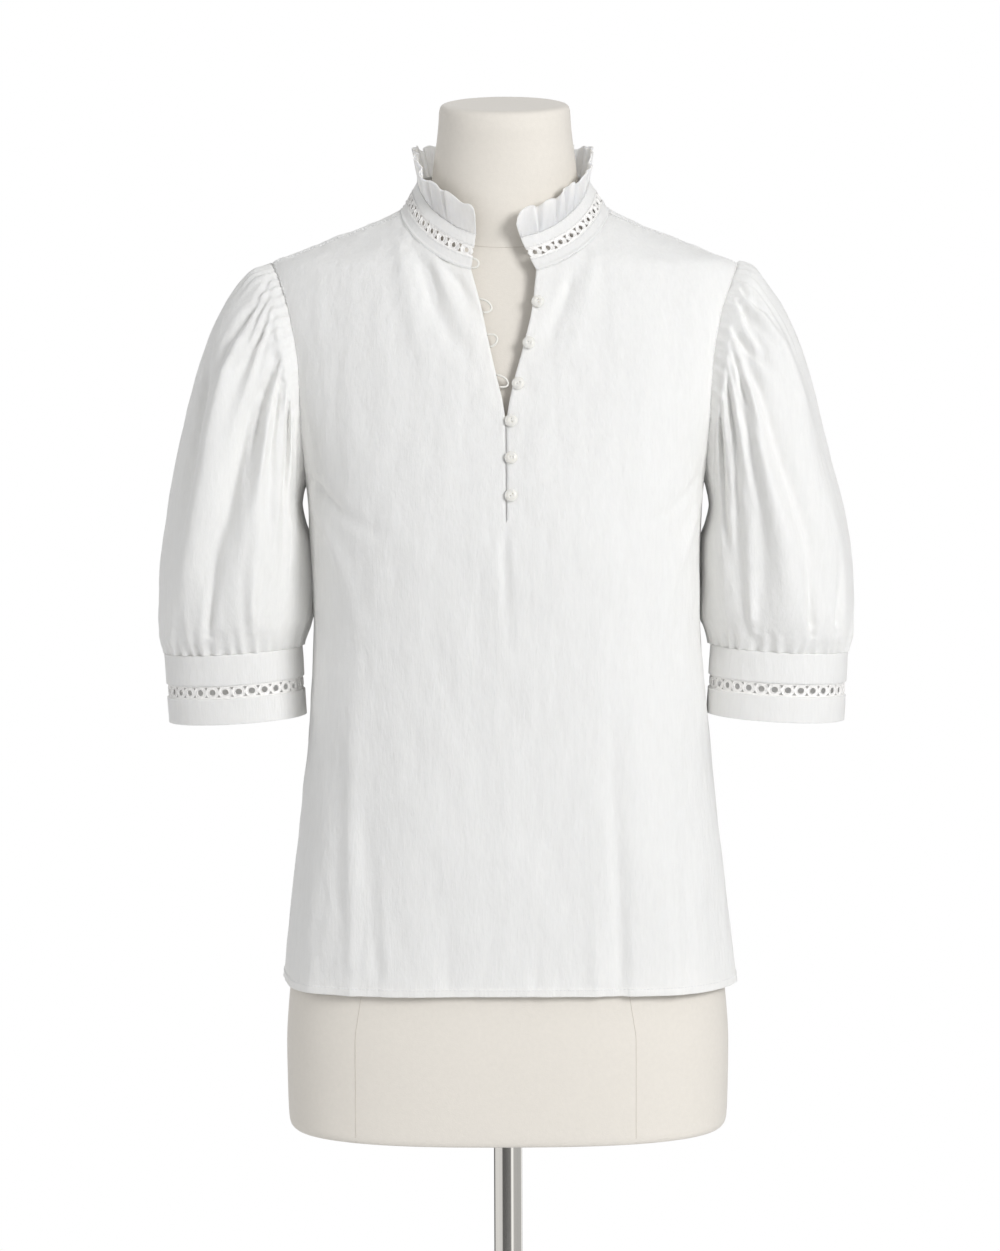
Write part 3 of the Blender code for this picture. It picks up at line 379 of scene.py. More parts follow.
# The same for the sleeves, with x counted outward from the body's middle
RIGHT_SLEEVE_CREASES = creases(
    False,
    (4, 13, 204, 1250, 220, 1190, 232, 1130, 248, 1070, 252, 1030),
    (-3, 9.5, 226, 1246, 236, 1190, 247, 1120, 250, 1070),
    (-4, 8.5, 176, 1240, 192, 1200, 204, 1158, 216, 1114, 231, 1072, 245, 1036),
    (2.2, 7.5, 172, 1212, 182, 1176, 196, 1120, 208, 1072, 214, 1036),
    (-3, 5, 170, 1222, 177, 1190, 180, 1132, 182, 1080),
    (-2.6, 4.5, 166, 1205, 168, 1170, 170, 1108, 171, 1060),
    (-1.8, 5.5, 186, 1200, 193, 1150, 200, 1090),
    (-2.2, 5.5, 190, 1285, 206, 1262, 220, 1228),
    (-2.2, 5.5, 184, 1268, 198, 1236, 208, 1196),
    (1.8, 6, 196, 1030, 194, 1070, 190, 1120),
    (-2, 5.5, 230, 1028, 226, 1060, 220, 1100),
) + creases(
    True,
    (3.6, 12, 200, 1262, 216, 1200, 226, 1130, 230, 1060),
    (-3.6, 8.5, 182, 1250, 196, 1196, 206, 1130, 210, 1066),
    (-2.8, 9, 222, 1246, 236, 1180, 244, 1110),
    (-2.8, 5.5, 172, 1215, 180, 1160, 184, 1090),
    (2, 6, 176, 1028, 177, 1070, 174, 1116),
    (-2.2, 6, 240, 1028, 240, 1060, 236, 1104),
)
LEFT_SLEEVE_CREASES = creases(
    False,
    (-3, 9.5, 178, 1262, 190, 1222, 204, 1176, 222, 1124, 240, 1074, 248, 1040),
    (3, 11, 184, 1234, 194, 1186, 206, 1136, 218, 1080, 222, 1034),
    (-2.6, 6.5, 176, 1238, 184, 1196, 190, 1150, 198, 1090, 204, 1040),
    (-2.4, 4.8, 170, 1222, 174, 1180, 177, 1120, 178, 1060),
    (2.6, 11, 192, 1286, 212, 1250, 228, 1206, 238, 1160),
    (-2.2, 5.5, 188, 1292, 202, 1272, 214, 1246),
    (-2.2, 5.5, 182, 1276, 196, 1250, 206, 1220),
    (-2.2, 4.5, 164, 1190, 167, 1140, 168, 1080),
    (1.8, 6, 190, 1028, 187, 1070, 183, 1120),
    (-2.2, 5.5, 236, 1026, 234, 1060, 228, 1100),
    (-1.6, 5.5, 256, 1026, 257, 1060, 254, 1100),
) + creases(
    True,
    (-3.6, 9, 196, 1268, 214, 1206, 222, 1136, 224, 1064),
    (3.2, 10.5, 180, 1240, 192, 1180, 200, 1110, 202, 1050),
    (-2.6, 5.5, 170, 1218, 176, 1160, 180, 1096),
    (2.6, 9.5, 230, 1236, 242, 1170, 250, 1100),
    (-2, 5.5, 186, 1028, 188, 1066, 186, 1110),
    (-2.2, 6, 244, 1028, 244, 1066, 240, 1110),
)

# Short sharp gathers that fan from the front of each armhole seam
RIGHT_FAN = creases(
    False,
    (-1, 3, 181, 1302, 190, 1286, 203, 1262),
    (-1.4, 3.3, 180, 1294, 190, 1270, 204, 1236, 214, 1200),
    (-1.1, 2.8, 179, 1284, 187, 1258, 197, 1226),
    (-1.5, 3.4, 177, 1274, 184, 1244, 195, 1206, 207, 1160),
    (-1.2, 2.8, 176, 1264, 181, 1240, 188, 1212),
    (-1.6, 3.5, 175, 1254, 181, 1222, 190, 1184, 203, 1130),
    (-1.2, 2.8, 173, 1244, 178, 1216, 184, 1186),
    (-1.6, 3.4, 171, 1232, 175, 1204, 181, 1166, 190, 1116),
    (-1.2, 2.8, 169, 1220, 171, 1196, 175, 1164),
    (-1.5, 3.2, 166, 1212, 166.5, 1180, 170, 1136, 176, 1084),
    (-1.2, 2.8, 163, 1200, 163, 1160, 165, 1110),
    (-1, 2.6, 160, 1186, 160, 1160, 161, 1140),
)
LEFT_FAN = creases(
    False,
    (-1.2, 3, 180, 1296, 190, 1284, 202, 1266),
    (-2.2, 4.2, 178, 1284, 192, 1268, 214, 1240),
    (-2, 4, 174, 1262, 188, 1246, 209, 1226),
    (-1.5, 3.4, 172, 1250, 179, 1226, 190, 1192, 206, 1150),
    (-1.2, 2.8, 171, 1240, 176, 1212, 184, 1176),
    (-1.6, 3.4, 169, 1230, 172, 1200, 179, 1160, 188, 1110),
    (-1.2, 2.8, 167, 1218, 169, 1190, 173, 1154),
    (-1.5, 3.2, 165, 1206, 165, 1170, 168, 1120, 174, 1070),
    (-1.1, 2.8, 161, 1190, 161, 1150, 163, 1110),
)


BACK_FAN_OUT = 0.002
BACK_FAN_DROP = 0.007


def at_back(fan):
    """The same fan on the hidden side, moved a little so that it isn't a copy."""
    made = []
    for crease in fan:
        route = tuple((x + BACK_FAN_OUT, z - BACK_FAN_DROP) for x, z in crease.route)
        made.append(Crease(route, 0.9 * crease.size, 1.1 * crease.width, True))
    return tuple(made)


# Small sums
def unit(vectors):
    """Vectors made one long."""
    return vectors / np.linalg.norm(vectors, axis=-1, keepdims=True)


def round_by(turn):
    """Cosine and sine of a turn in degrees."""
    return np.cos(np.radians(turn)), np.sin(np.radians(turn))


def bell(off):
    """1 in the middle, falling off smoothly to 0 on both sides."""
    return np.exp(-(off ** 2))


def part(share):
    """A share kept between 0 and 1."""
    return np.clip(share, 0, 1)


def between(first, second, slope, after, span, t):
    """A cubic from the first value to the second, with the slopes given at its ends."""
    return (
        first * (1 + 2 * t) * (1 - t) ** 2
        + slope * span * t * (1 - t) ** 2
        + second * t * t * (3 - 2 * t)
        - after * span * t * t * (1 - t)
    )


def lengths_along(path):
    """How far each point of a path lies from its start."""
    return np.concatenate(([0], np.cumsum(np.linalg.norm(np.diff(path, axis=0), axis=1))))


# Reading the tables
CURVE_STEPS = 4001
HALVINGS = 26
FURTHEST = 2.5
LEAST_SHARE = 0.001


def curve(rows, column, key="z"):
    """A column of a table as a function of height, on a curve that never overshoots."""
    at = np.array([getattr(row, key) for row in rows]) if key else np.arange(len(rows)) * 1.0
    value = np.array([getattr(row, column) for row in rows])
    rise = np.diff(value) / np.diff(at)
    together = rise[:-1] * rise[1:] > 0
    total = np.where(together, rise[:-1] + rise[1:], 1.0)
    inner = np.where(together, 2 * rise[:-1] * rise[1:] / total, 0)
    slope = np.concatenate(([rise[0]], inner, [rise[-1]]))
    fine = np.linspace(at[0], at[-1], CURVE_STEPS)
    k = np.clip(np.searchsorted(at, fine, side="right") - 1, 0, len(at) - 2)
    span = at[k + 1] - at[k]
    t = (fine - at[k]) / span
    drawn = between(value[k], value[k + 1], slope[k], slope[k + 1], span, t)
    return lambda z: np.interp(z, fine, drawn)


class Stretch:
    """One table of sections: the trunk, or the neck column, which is centred in depth."""

    def __init__(self, rows, centred):
        self.low, self.high = rows[0].z, rows[-1].z
        self.centred = centred
        self.half_width = curve(rows, "half_width")
        self.front = curve(rows, "front")
        self.back = curve(rows, "back")
        self.square = curve(rows, "square")


def share_out(body, p):
    """How far out points lie, as a share of the body: trunk and neck column as one."""
    x, y, z = p[..., 0], p[..., 1], p[..., 2]
    reach = np.full(x.shape, 1e-30)
    for stretch in body:
        front, back = stretch.front(z), stretch.back(z)
        middle = (back - front) / 2 * stretch.centred
        depth = np.where(y < middle, front + middle, back - middle)
        across = np.abs(x) / stretch.half_width(z)
        along = np.abs(y - middle) / depth
        square = stretch.square(z)
        share = np.maximum((across ** square + along ** square) ** (1 / square), LEAST_SHARE)
        inside = (z >= stretch.low - ROUNDING) & (z <= stretch.high + ROUNDING)
        reach += np.where(inside, share ** -BLEND, 0)
    return reach ** (-1 / BLEND)


def outward_of(body, p, step=0.0005):
    """The way out of the body at points near its surface, one long."""
    slope = np.empty(p.shape)
    for axis in range(3):
        shift = np.zeros(3)
        shift[axis] = step
        slope[..., axis] = share_out(body, p + shift) - share_out(body, p - shift)
    return unit(slope)


def from_inside(body, inner, outer):
    """Where the way from points inside the body through others leaves it."""
    low = np.zeros(outer.shape[:-1])
    high = np.full(outer.shape[:-1], FURTHEST)
    for _ in range(HALVINGS):
        middle = (low + high) / 2
        inside = share_out(body, inner + (outer - inner) * middle[..., None]) < 1
        low = np.where(inside, middle, low)
        high = np.where(inside, high, middle)
    return inner + (outer - inner) * low[..., None]


def points_of(x, y, z):
    x, y, z = np.broadcast_arrays(x, y, z)
    return np.stack((x, y, z), axis=-1).astype(float)


def torso_point(body, angle, z):
    """The body's surface at angles in degrees from the front middle, at heights z."""
    angle, z = np.broadcast_arrays(angle, np.asarray(z, float))
    ahead, across = round_by(angle)
    half_width = np.maximum(body[0].half_width(z), body[1].half_width(z))
    front = np.maximum(body[0].front(z), body[1].front(z))
    back = np.maximum(body[0].back(z), body[1].back(z))
    outer = points_of(half_width * across, -np.where(ahead > 0, front, back) * ahead, z)
    return from_inside(body, points_of(0, 0, z), outer)


WORN = (Stretch(GARMENT, 0), Stretch(NECK, 1))
slit_left = curve(SLIT, "left")
slit_right = curve(SLIT, "right")


def on_face(x, z, back=False):
    """The cloth's outer face at places seen straight from the front or the back."""
    middle = points_of(x, 0, z)
    ahead = np.where(back, 0.1, -0.1)
    face = from_inside(WORN, middle, points_of(x, ahead, z))
    return np.where((share_out(WORN, middle) >= 1)[..., None], middle, face)


def onto_torso(p):
    """Points moved out or in until they lie on the cloth's outer face."""
    inner = points_of(p[..., 0] * 0.5, 0, np.minimum(p[..., 2] - 0.02, 1.27))
    return from_inside(WORN, inner, p)


def angle_of(p):
    depth = np.where(p[..., 1] < 0, WORN[0].front(p[..., 2]), WORN[0].back(p[..., 2]))
    return np.degrees(np.arctan2(p[..., 0] / WORN[0].half_width(p[..., 2]), -p[..., 1] / depth))


def fold_rise(p):
    """How far the body's long folds stand off the plain surface."""
    angle, z = angle_of(p), p[..., 2]
    rise = np.zeros(z.shape)
    for fold in BODY_FOLDS:
        climb = part((z - HEM_SIDE) / (fold.top_z - HEM_SIDE))
        middle = fold.hem_angle + (fold.top_angle - fold.hem_angle) * climb
        off = (angle - middle + 180) % 360 - 180
        rise += fold.size * (1 - climb) ** FOLD_FADE * 2 ** (-((off / fold.width) ** 2))
    return rise


# The seams that the pieces share
def dip(ahead, front_drop):
    """How far an edge round the neck lies below its sides: deep in front, raised behind."""
    return np.where(ahead > 0, front_drop * np.maximum(ahead, 0) ** 1.25, NECK_BACK_RISE * ahead)


def neck_point(turn):
    """The neck edge, by the turn in degrees round the neck from the front."""
    ahead, across = round_by(turn)
    return on_face(NECK_HALF * across, NECK_SIDE - dip(ahead, NECK_FRONT_DROP), ahead <= 0)


def armhole_point(turn):
    """The armhole of the wearer's left, by the turn from its top towards the front."""
    ahead, forward = round_by(turn)
    z = (SHOULDER_TIP + ARMPIT) / 2 + (SHOULDER_TIP - ARMPIT) / 2 * ahead
    y = -forward * np.where(forward > 0, SLEEVE_RINGS[0].front, SLEEVE_RINGS[0].back)
    return from_inside(WORN, points_of(0, y, z), points_of(0.1, y, z))


# Creases
CREASE_POINTS = 36
CREASE_ROUNDS = 6
CREASE_REACH = 4.5
CREASE_START = 0.12
CREASE_LEAST = 0.35
CREASE_FADE = 1.6
CREASE_NARROW = 0.62
CREASE_SPREAD = 0.55
SHOULDER_SHARE = 0.3
SHOULDER_WIDTH = 2.1


def resampled(route, count):
    """Points at even steps of a smooth curve through the route."""
    route = np.array(route, float)
    steps = lengths_along(route)
    slope = np.gradient(route, steps, axis=0)
    at = np.linspace(0, steps[-1], count)
    k = np.clip(np.searchsorted(steps, at, side="right") - 1, 0, len(route) - 2)
    span = (steps[k + 1] - steps[k])[:, None]
    t = ((at - steps[k]) / span[:, 0])[:, None]
    return between(route[k], route[k + 1], slope[k], slope[k + 1], span, t)


def crease_profile(off):
    """A crease across its width: its middle, and soft shoulders the other way."""
    return (bell(off) - SHOULDER_SHARE * bell(off / SHOULDER_WIDTH)) / (1 - SHOULDER_SHARE)


def crease_rise(p, table, place):
    """How far the creases lift points of the plain surface. `place` sets a route on it."""
    flat = p.reshape(-1, 3)
    rise = np.zeros(len(flat))
    for crease in table:
        way = resampled(crease.route, CREASE_POINTS)
        line = place(way[:, 0], way[:, 1], crease.back)
        for _ in range(CREASE_ROUNDS):
            line[1:-1] = (line[:-2] + 2 * line[1:-1] + line[2:]) / 4
        reach = CREASE_REACH * crease.width
        near = np.all((flat > line.min(axis=0) - reach) & (flat < line.max(axis=0) + reach), axis=1)
        chosen = flat[near]
        best = np.full(len(chosen), 1e9)
        along = np.zeros(len(chosen))
        for k in range(len(line) - 1):
            step = line[k + 1] - line[k]
            t = np.clip((chosen - line[k]) @ step / (step @ step), 0, 1)
            far = np.linalg.norm(chosen - line[k] - t[:, None] * step, axis=1)
            closer = far < best
            best = np.where(closer, far, best)
            along = np.where(closer, (k + t) / (len(line) - 1), along)
        strength = np.clip(along / CREASE_START, CREASE_LEAST, 1) * (1 - along ** CREASE_FADE)
        width = crease.width * (CREASE_NARROW + CREASE_SPREAD * along)
        rise[near] += crease.size * strength * crease_profile(best / width)
    return rise.reshape(p.shape[:-1])


def crumple(p, scale, seed):
    """A soft random relief from -1 to 1, by points scaled to its grain."""
    shift = Vector((seed * 7.3, seed * 3.1, seed * 1.7))
    flat = (p * np.array(scale)).reshape(-1, 3)
    values = [noise.noise(Vector(q) + shift) for q in flat]
    return np.array(values).reshape(p.shape[:-1])


def crumpled(p, layers, seed=0):
    """Layers of crumple together, with a seed added to their own."""
    return sum(layer.size * crumple(p, layer.scale, layer.seed + seed) for layer in layers)


def grid_normals(p):
    """Normals of a grid of points stored row by row; across then up, right-handed."""
    normal = np.cross(np.gradient(p, axis=1), np.gradient(p, axis=0))
    size = np.linalg.norm(normal, axis=-1, keepdims=True)
    return normal / np.maximum(size, 1e-12)


# Making pieces
def add_piece(name, mesh, look, replaces=()):
    """An object in the scene that rides on the body and stands for its solids."""
    made = bpy.data.objects.new(name, mesh)
    bpy.context.scene.collection.objects.link(made)
    made.data.materials.append(look)
    mesh.shade_smooth()
    if replaces:
        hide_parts(*replaces)
    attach(made, "root")
    return made


def grid_faces(rows, columns, closed=False, flip=False, first=0):
    """Quads of a grid stored row by row, whose first point has the number `first`."""
    faces = []
    for i in range(rows - 1):
        for j in range(columns if closed else columns - 1):
            k = (j + 1) % columns
            quad = (i * columns + j, i * columns + k, (i + 1) * columns + k, (i + 1) * columns + j)
            quad = tuple(first + corner for corner in quad)
            faces.append(quad[::-1] if flip else quad)
    return faces


def mesh_of(name, points, faces):
    mesh = bpy.data.meshes.new(name)
    mesh.from_pydata(np.asarray(points).reshape(-1, 3).tolist(), [], faces)
    mesh.validate()
    return mesh


def welded(mesh, distance, solid=False):
    """Points at one place are made one; a solid's last hole is closed, facing out."""
    shape = bmesh.new()
    shape.from_mesh(mesh)
    bmesh.ops.remove_doubles(shape, verts=shape.verts, dist=distance)
    if solid:
        bmesh.ops.holes_fill(shape, edges=shape.edges)
        bmesh.ops.recalc_face_normals(shape, faces=shape.faces)
    shape.to_mesh(mesh)
    shape.free()
    return mesh


def thicken(piece, thickness):
    solid = piece.modifiers.new("thickness", "SOLIDIFY")
    solid.thickness = thickness
    solid.offset = -1.0


def cloth_grid(name, points, look, closed=False, flip=False, thickness=SHEET_CLOTH):
    """A sheet of cloth from a grid of points, standing for the solid of its name."""
    mesh = mesh_of(name, points, grid_faces(*points.shape[:2], closed, flip))
    piece = add_piece(name, mesh, look, (name,))
    thicken(piece, thickness)
    return piece


def band_grid(name, points, closed=False, flip=False):
    """A doubled band of cloth with softened edges."""
    band = cloth_grid(name, points, BAND_COTTON, closed, flip, BAND_CLOTH)
    soften = band.modifiers.new("soft_edges", "BEVEL")
    soften.width = 0.0004
    soften.segments = 2
    return band


def end_faces(rows, columns):
    """Faces that close the first and the last row of a closed grid."""
    last = (rows - 1) * columns
    return [tuple(reversed(range(columns))), tuple(last + k for k in range(columns))]


def tube_mesh(path, radius, sides, closed=False):
    """A round thread along a path of points, with its ends closed."""
    path = np.asarray(path, float)
    count = len(path)
    if closed:
        way = np.roll(path, -1, axis=0) - np.roll(path, 1, axis=0)
    else:
        way = np.gradient(path, axis=0)
    way = unit(way)
    side = np.cross(way[0], (0.0, 0.0, 1.0))
    if np.linalg.norm(side) < 0.1:
        side = np.cross(way[0], (1.0, 0.0, 0.0))
    rings = []
    for k in range(count):
        side = side - way[k] * (side @ way[k])
        side = side / np.linalg.norm(side)
        other = np.cross(way[k], side)
        turn = np.linspace(0, 2 * pi, sides, endpoint=False)[:, None]
        rings.append(path[k] + radius * (np.cos(turn) * side + np.sin(turn) * other))
    faces = []
    for k in range(count if closed else count - 1):
        after = (k + 1) % count
        for j in range(sides):
            i = (j + 1) % sides
            faces.append((k * sides + j, k * sides + i, after * sides + i, after * sides + j))
    if not closed:
        faces += end_faces(count, sides)
    return np.concatenate(rings), faces


def joined(name, parts):
    """One mesh from several lots of points and faces."""
    points = []
    faces = []
    count = 0
    for more, some in parts:
        points.append(np.asarray(more).reshape(-1, 3))
        faces += [tuple(corner + count for corner in face) for face in some]
        count += len(points[-1])
    return mesh_of(name, np.concatenate(points), faces)


STITCH_PITCH = 0.0031
STITCH_LENGTH = 0.0021
STITCH_RADIUS = 0.00024
# A stitch's shape: shares of its length, and how many radii its middle line stands off
STITCH_ALONG = (0.0, 0.18, 0.5, 0.82, 1.0)
STITCH_HIGH = (-0.8, 0.5, 0.8, 0.5, -0.8)


def stitches(path, normals):
    """Short threads in a row along a path on cloth, each sunk at both its ends."""
    path, normals = np.asarray(path, float), np.asarray(normals, float)
    steps = lengths_along(path)
    count = int(steps[-1] / STITCH_PITCH)
    made = []
    for k in range(count):
        start = (k + 0.5) * steps[-1] / count - STITCH_LENGTH / 2
        at = start + STITCH_LENGTH * np.array(STITCH_ALONG)
        line = np.stack([np.interp(at, steps, path[:, axis]) for axis in range(3)], axis=1)
        out = np.stack([np.interp(at, steps, normals[:, axis]) for axis in range(3)], axis=1)
        line += out * (np.array(STITCH_HIGH) * STITCH_RADIUS)[:, None]
        made.append(tube_mesh(line, STITCH_RADIUS, sides=5))
    return made


# Materials
def socket(shader, name, value):
    shader.inputs[name].default_value = value


def material(name, colour, roughness, metallic=0.0):
    """A material with its node tree and its shader."""
    made = bpy.data.materials.new(name)
    made.use_nodes = True
    shader = made.node_tree.nodes["Principled BSDF"]
    socket(shader, "Base Color", (*colour, 1.0))
    socket(shader, "Roughness", roughness)
    socket(shader, "Metallic", metallic)
    return made, made.node_tree, shader


def place_node(tree, scale):
    """Positions on the piece, in metres times the scale along each axis."""
    where = tree.nodes.new("ShaderNodeTexCoord")
    mapping = tree.nodes.new("ShaderNodeMapping")
    socket(mapping, "Scale", scale)
    tree.links.new(where.outputs["Object"], mapping.inputs["Vector"])
    return mapping.outputs["Vector"]


def noise_node(tree, scale, detail=3.0):
    made = tree.nodes.new("ShaderNodeTexNoise")
    socket(made, "Scale", 1.0)
    socket(made, "Detail", detail)
    socket(made, "Roughness", 0.55)
    tree.links.new(place_node(tree, scale), made.inputs["Vector"])
    return made.outputs["Fac"]


def add_bump(tree, shader, height, strength, distance, before=None):
    bump = tree.nodes.new("ShaderNodeBump")
    socket(bump, "Strength", strength)
    socket(bump, "Distance", distance)
    tree.links.new(height, bump.inputs["Height"])
    if before is not None:
        tree.links.new(before, bump.inputs["Normal"])
    tree.links.new(bump.outputs["Normal"], shader.inputs["Normal"])
    return bump.outputs["Normal"]


def vary_colour(tree, shader, fac, light, share):
    """The colour runs from a share of itself to the whole over a texture's middle range."""
    dark = [c * share for c in light]
    ramp = tree.nodes.new("ShaderNodeValToRGB")
    for stop, place, tone in zip(ramp.color_ramp.elements, (0.3, 0.7), (dark, light)):
        stop.position = place
        stop.color = (*tone, 1.0)
    tree.links.new(fac, ramp.inputs["Fac"])
    tree.links.new(ramp.outputs["Color"], shader.inputs["Base Color"])


def cloth_material(name, colour, slub, crinkle, weave, through=0.3):
    """Woven cotton: upright slubs, a fine crinkle, and the weave itself."""
    made, tree, shader = material(name, colour, 0.86)
    socket(shader, "Sheen Weight", 0.25)
    socket(shader, "Sheen Roughness", 0.5)
    socket(shader, "Subsurface Weight", through)
    socket(shader, "Subsurface Scale", 0.006)
    socket(shader, "Subsurface Radius", (1.0, 0.95, 0.85))
    vary_colour(tree, shader, noise_node(tree, (420, 420, 60)), colour, 0.965)
    low = add_bump(tree, shader, noise_node(tree, (170, 170, 70), 4.0), crinkle, 0.0016)
    middle = add_bump(tree, shader, noise_node(tree, (900, 900, 110), 2.0), slub, 0.0005, low)
    add_bump(tree, shader, noise_node(tree, (2600, 2600, 2600), 1.0), weave, 0.0002, middle)
    return made


def knit_material(name, colour):
    """Fine jersey drawn tight over the form."""
    made, tree, shader = material(name, colour, 0.82)
    socket(shader, "Sheen Weight", 0.2)
    vary_colour(tree, shader, noise_node(tree, (300, 300, 300)), colour, 0.97)
    low = add_bump(tree, shader, noise_node(tree, (900, 900, 1300), 2.0), 0.35, 0.0003)
    add_bump(tree, shader, noise_node(tree, (60, 60, 60), 2.0), 0.1, 0.002, low)
    return made


def pearl_material(name, colour):
    """Pale pearly resin, a little see-through, with faint cloudy bands."""
    made, tree, shader = material(name, colour, 0.18)
    socket(shader, "Subsurface Weight", 0.4)
    socket(shader, "Subsurface Scale", 0.002)
    socket(shader, "Subsurface Radius", (1.0, 0.95, 0.85))
    socket(shader, "Coat Weight", 0.4)
    vary_colour(tree, shader, noise_node(tree, (500, 500, 700), 4.0), colour, 0.93)
    return made


def thread_material(name, colour):
    made, tree, shader = material(name, colour, 0.55)
    vary_colour(tree, shader, noise_node(tree, (1500, 1500, 1500)), colour, 0.93)
    add_bump(tree, shader, noise_node(tree, (2500, 2500, 2500), 1.0), 0.5, 0.0002)
    return made


def steel_material(name, colour):
    """Drawn steel tube: faint lines along it."""
    made, tree, shader = material(name, colour, 0.10, 1.0)
    vary_colour(tree, shader, noise_node(tree, (1800, 1800, 8), 2.0), colour, 0.95)
    add_bump(tree, shader, noise_node(tree, (1500, 1500, 6), 1.0), 0.03, 0.0001)
    return made


def paint_material(name, colour):
    made, tree, shader = material(name, colour, 0.38)
    vary_colour(tree, shader, noise_node(tree, (120, 120, 120)), colour, 0.97)
    add_bump(tree, shader, noise_node(tree, (1400, 1400, 1400), 2.0), 0.12, 0.0002)
    return made


COTTON = cloth_material("white_cotton", (0.902, 0.897, 0.875), slub=0.50, crinkle=0.50, weave=0.30)
FRILL_COTTON = cloth_material(
    "frill_cotton", (0.920, 0.914, 0.895), slub=0.45, crinkle=0.40, weave=0.30, through=0.9
)
BAND_COTTON = cloth_material("band_cotton", (0.808, 0.804, 0.790), slub=0.40, crinkle=0.25, weave=0.35)
LACE_COTTON = thread_material("lace_cotton", (0.91, 0.90, 0.885))
SEWING = thread_material("sewing_thread", (0.84, 0.84, 0.84))
LOOP_THREAD = thread_material("loop_thread", (0.84, 0.83, 0.78))
PEARL = pearl_material("pearl_button", (0.775, 0.765, 0.730))
IVORY = knit_material("ivory_jersey", (0.747, 0.709, 0.650))
IVORY_SEAM = thread_material("ivory_seam", (0.60, 0.55, 0.49))
STEEL = steel_material("drawn_steel", (0.74, 0.72, 0.68))
PAINT = paint_material("pale_paint", (0.74, 0.73, 0.71))


# Front and back
def two_runs(first, second, split, share):
    """A seam of two runs: the first takes the share up to `split`."""
    before = first(np.minimum(share / split, 1))
    after = second(np.maximum((share - split) / (1 - split), 0))
    return np.where((share <= split)[:, None], before, after)


def hem_edge(angle):
    """Height of the hem: highest at the front middle, and lifted at the side seams."""
    ahead, _ = round_by(angle)
    lift = HEM_LIFT * bell(ahead / HEM_LIFT_WIDTH)
    return HEM_SIDE + (HEM_FRONT - HEM_SIDE) * np.maximum(ahead, 0) ** 2 + lift


def panel_edges(side, back, u, v, split):
    """The four edges of half a panel, on the side +1 or -1."""
    end = COLLAR_RIGHT_END if side > 0 else COLLAR_LEFT_END
    neck_start = 180.0 if back else end.foot
    tip_turn = SHOULDER_SEAM_AT_TIP + (360 if back else 0)
    low_middle = ARMPIT if back else SLIT_BOTTOM
    middle_angle = 180.0 if back else 0.0
    foot = HEM_SIDE if back else HEM_FRONT

    def bottom(u):
        angle = side * (middle_angle + (90 - middle_angle) * u)
        return torso_point(WORN, angle, hem_edge(angle))

    def neck(t):
        return neck_point(side * (neck_start + (SHOULDER_SEAM_AT_NECK - neck_start) * t))

    def armhole(t):
        return armhole_point(180 + (tip_turn - 180) * t) * np.array((side, 1, 1))

    def shoulder(t):
        start, stop = neck(np.ones(1))[0], armhole(np.ones(1))[0]
        return onto_torso(start + (stop - start) * t[:, None])

    def side_seam(t):
        low = hem_edge(side * 90.0)
        return torso_point(WORN, side * 90.0, low + (ARMPIT - low) * t)

    def middle(t):
        return torso_point(WORN, middle_angle, foot + (low_middle - foot) * t)

    def opening(t):
        top = neck(np.zeros(1))[0][2]
        z = low_middle + (top - low_middle) * t
        if back:
            return torso_point(WORN, 180.0, z)
        edge = slit_right if side > 0 else slit_left
        return on_face(np.where(t > 0, edge(z), 0.0), z)

    return (
        bottom(u),
        two_runs(neck, shoulder, NECK_SHARE, u),
        two_runs(middle, opening, split, v),
        two_runs(side_seam, armhole, split, v),
    )


def panel_half(side, back, u, v, split):
    """Points of half a panel's outer face, blended from its four edges."""
    bottom, top, left, right = panel_edges(side, back, u, v, split)
    s, t = u[None, :, None], v[:, None, None]
    across = bottom[None] * (1 - t) + top[None] * t
    along = left[:, None] * (1 - s) + right[:, None] * s
    low = bottom[0] * (1 - s) + bottom[-1] * s
    high = top[0] * (1 - s) + top[-1] * s
    made = across + along - low * (1 - t) - high * t
    made[0], made[-1], made[:, 0], made[:, -1] = bottom, top, left, right
    start = int(np.searchsorted(v, EVEN_FROM))
    for _ in range(EVEN_ROUNDS):
        beside = made[start:-1, :-2] + made[start:-1, 2:]
        beside = beside + made[start - 1 : -2, 1:-1] + made[start + 1 :, 1:-1]
        made[start:-1, 1:-1] = 0.2 * made[start:-1, 1:-1] + 0.2 * beside
    made = onto_torso(made)
    made[0], made[-1], made[:, 0], made[:, -1] = bottom, top, left, right
    return made


def settled(p):
    """Points let down a little at the shoulders, and the sleeves' heads moved aside."""
    x, z = p[..., 0], p[..., 2]
    near = part((np.abs(x) - NECK_OUT) / NECK_OVER) * part((z - SETTLE_FROM) / SETTLE_OVER)
    beyond = part((np.abs(x) - SHOULDER_OUT) / SHOULDER_OVER) * part((z - ASIDE_FROM) / ASIDE_OVER)
    made = p.copy()
    made[..., 2] -= np.where(x > 0, SETTLE_LEFT, SETTLE_RIGHT) * near
    made[..., 0] -= SLEEVES_ASIDE * beyond
    return made


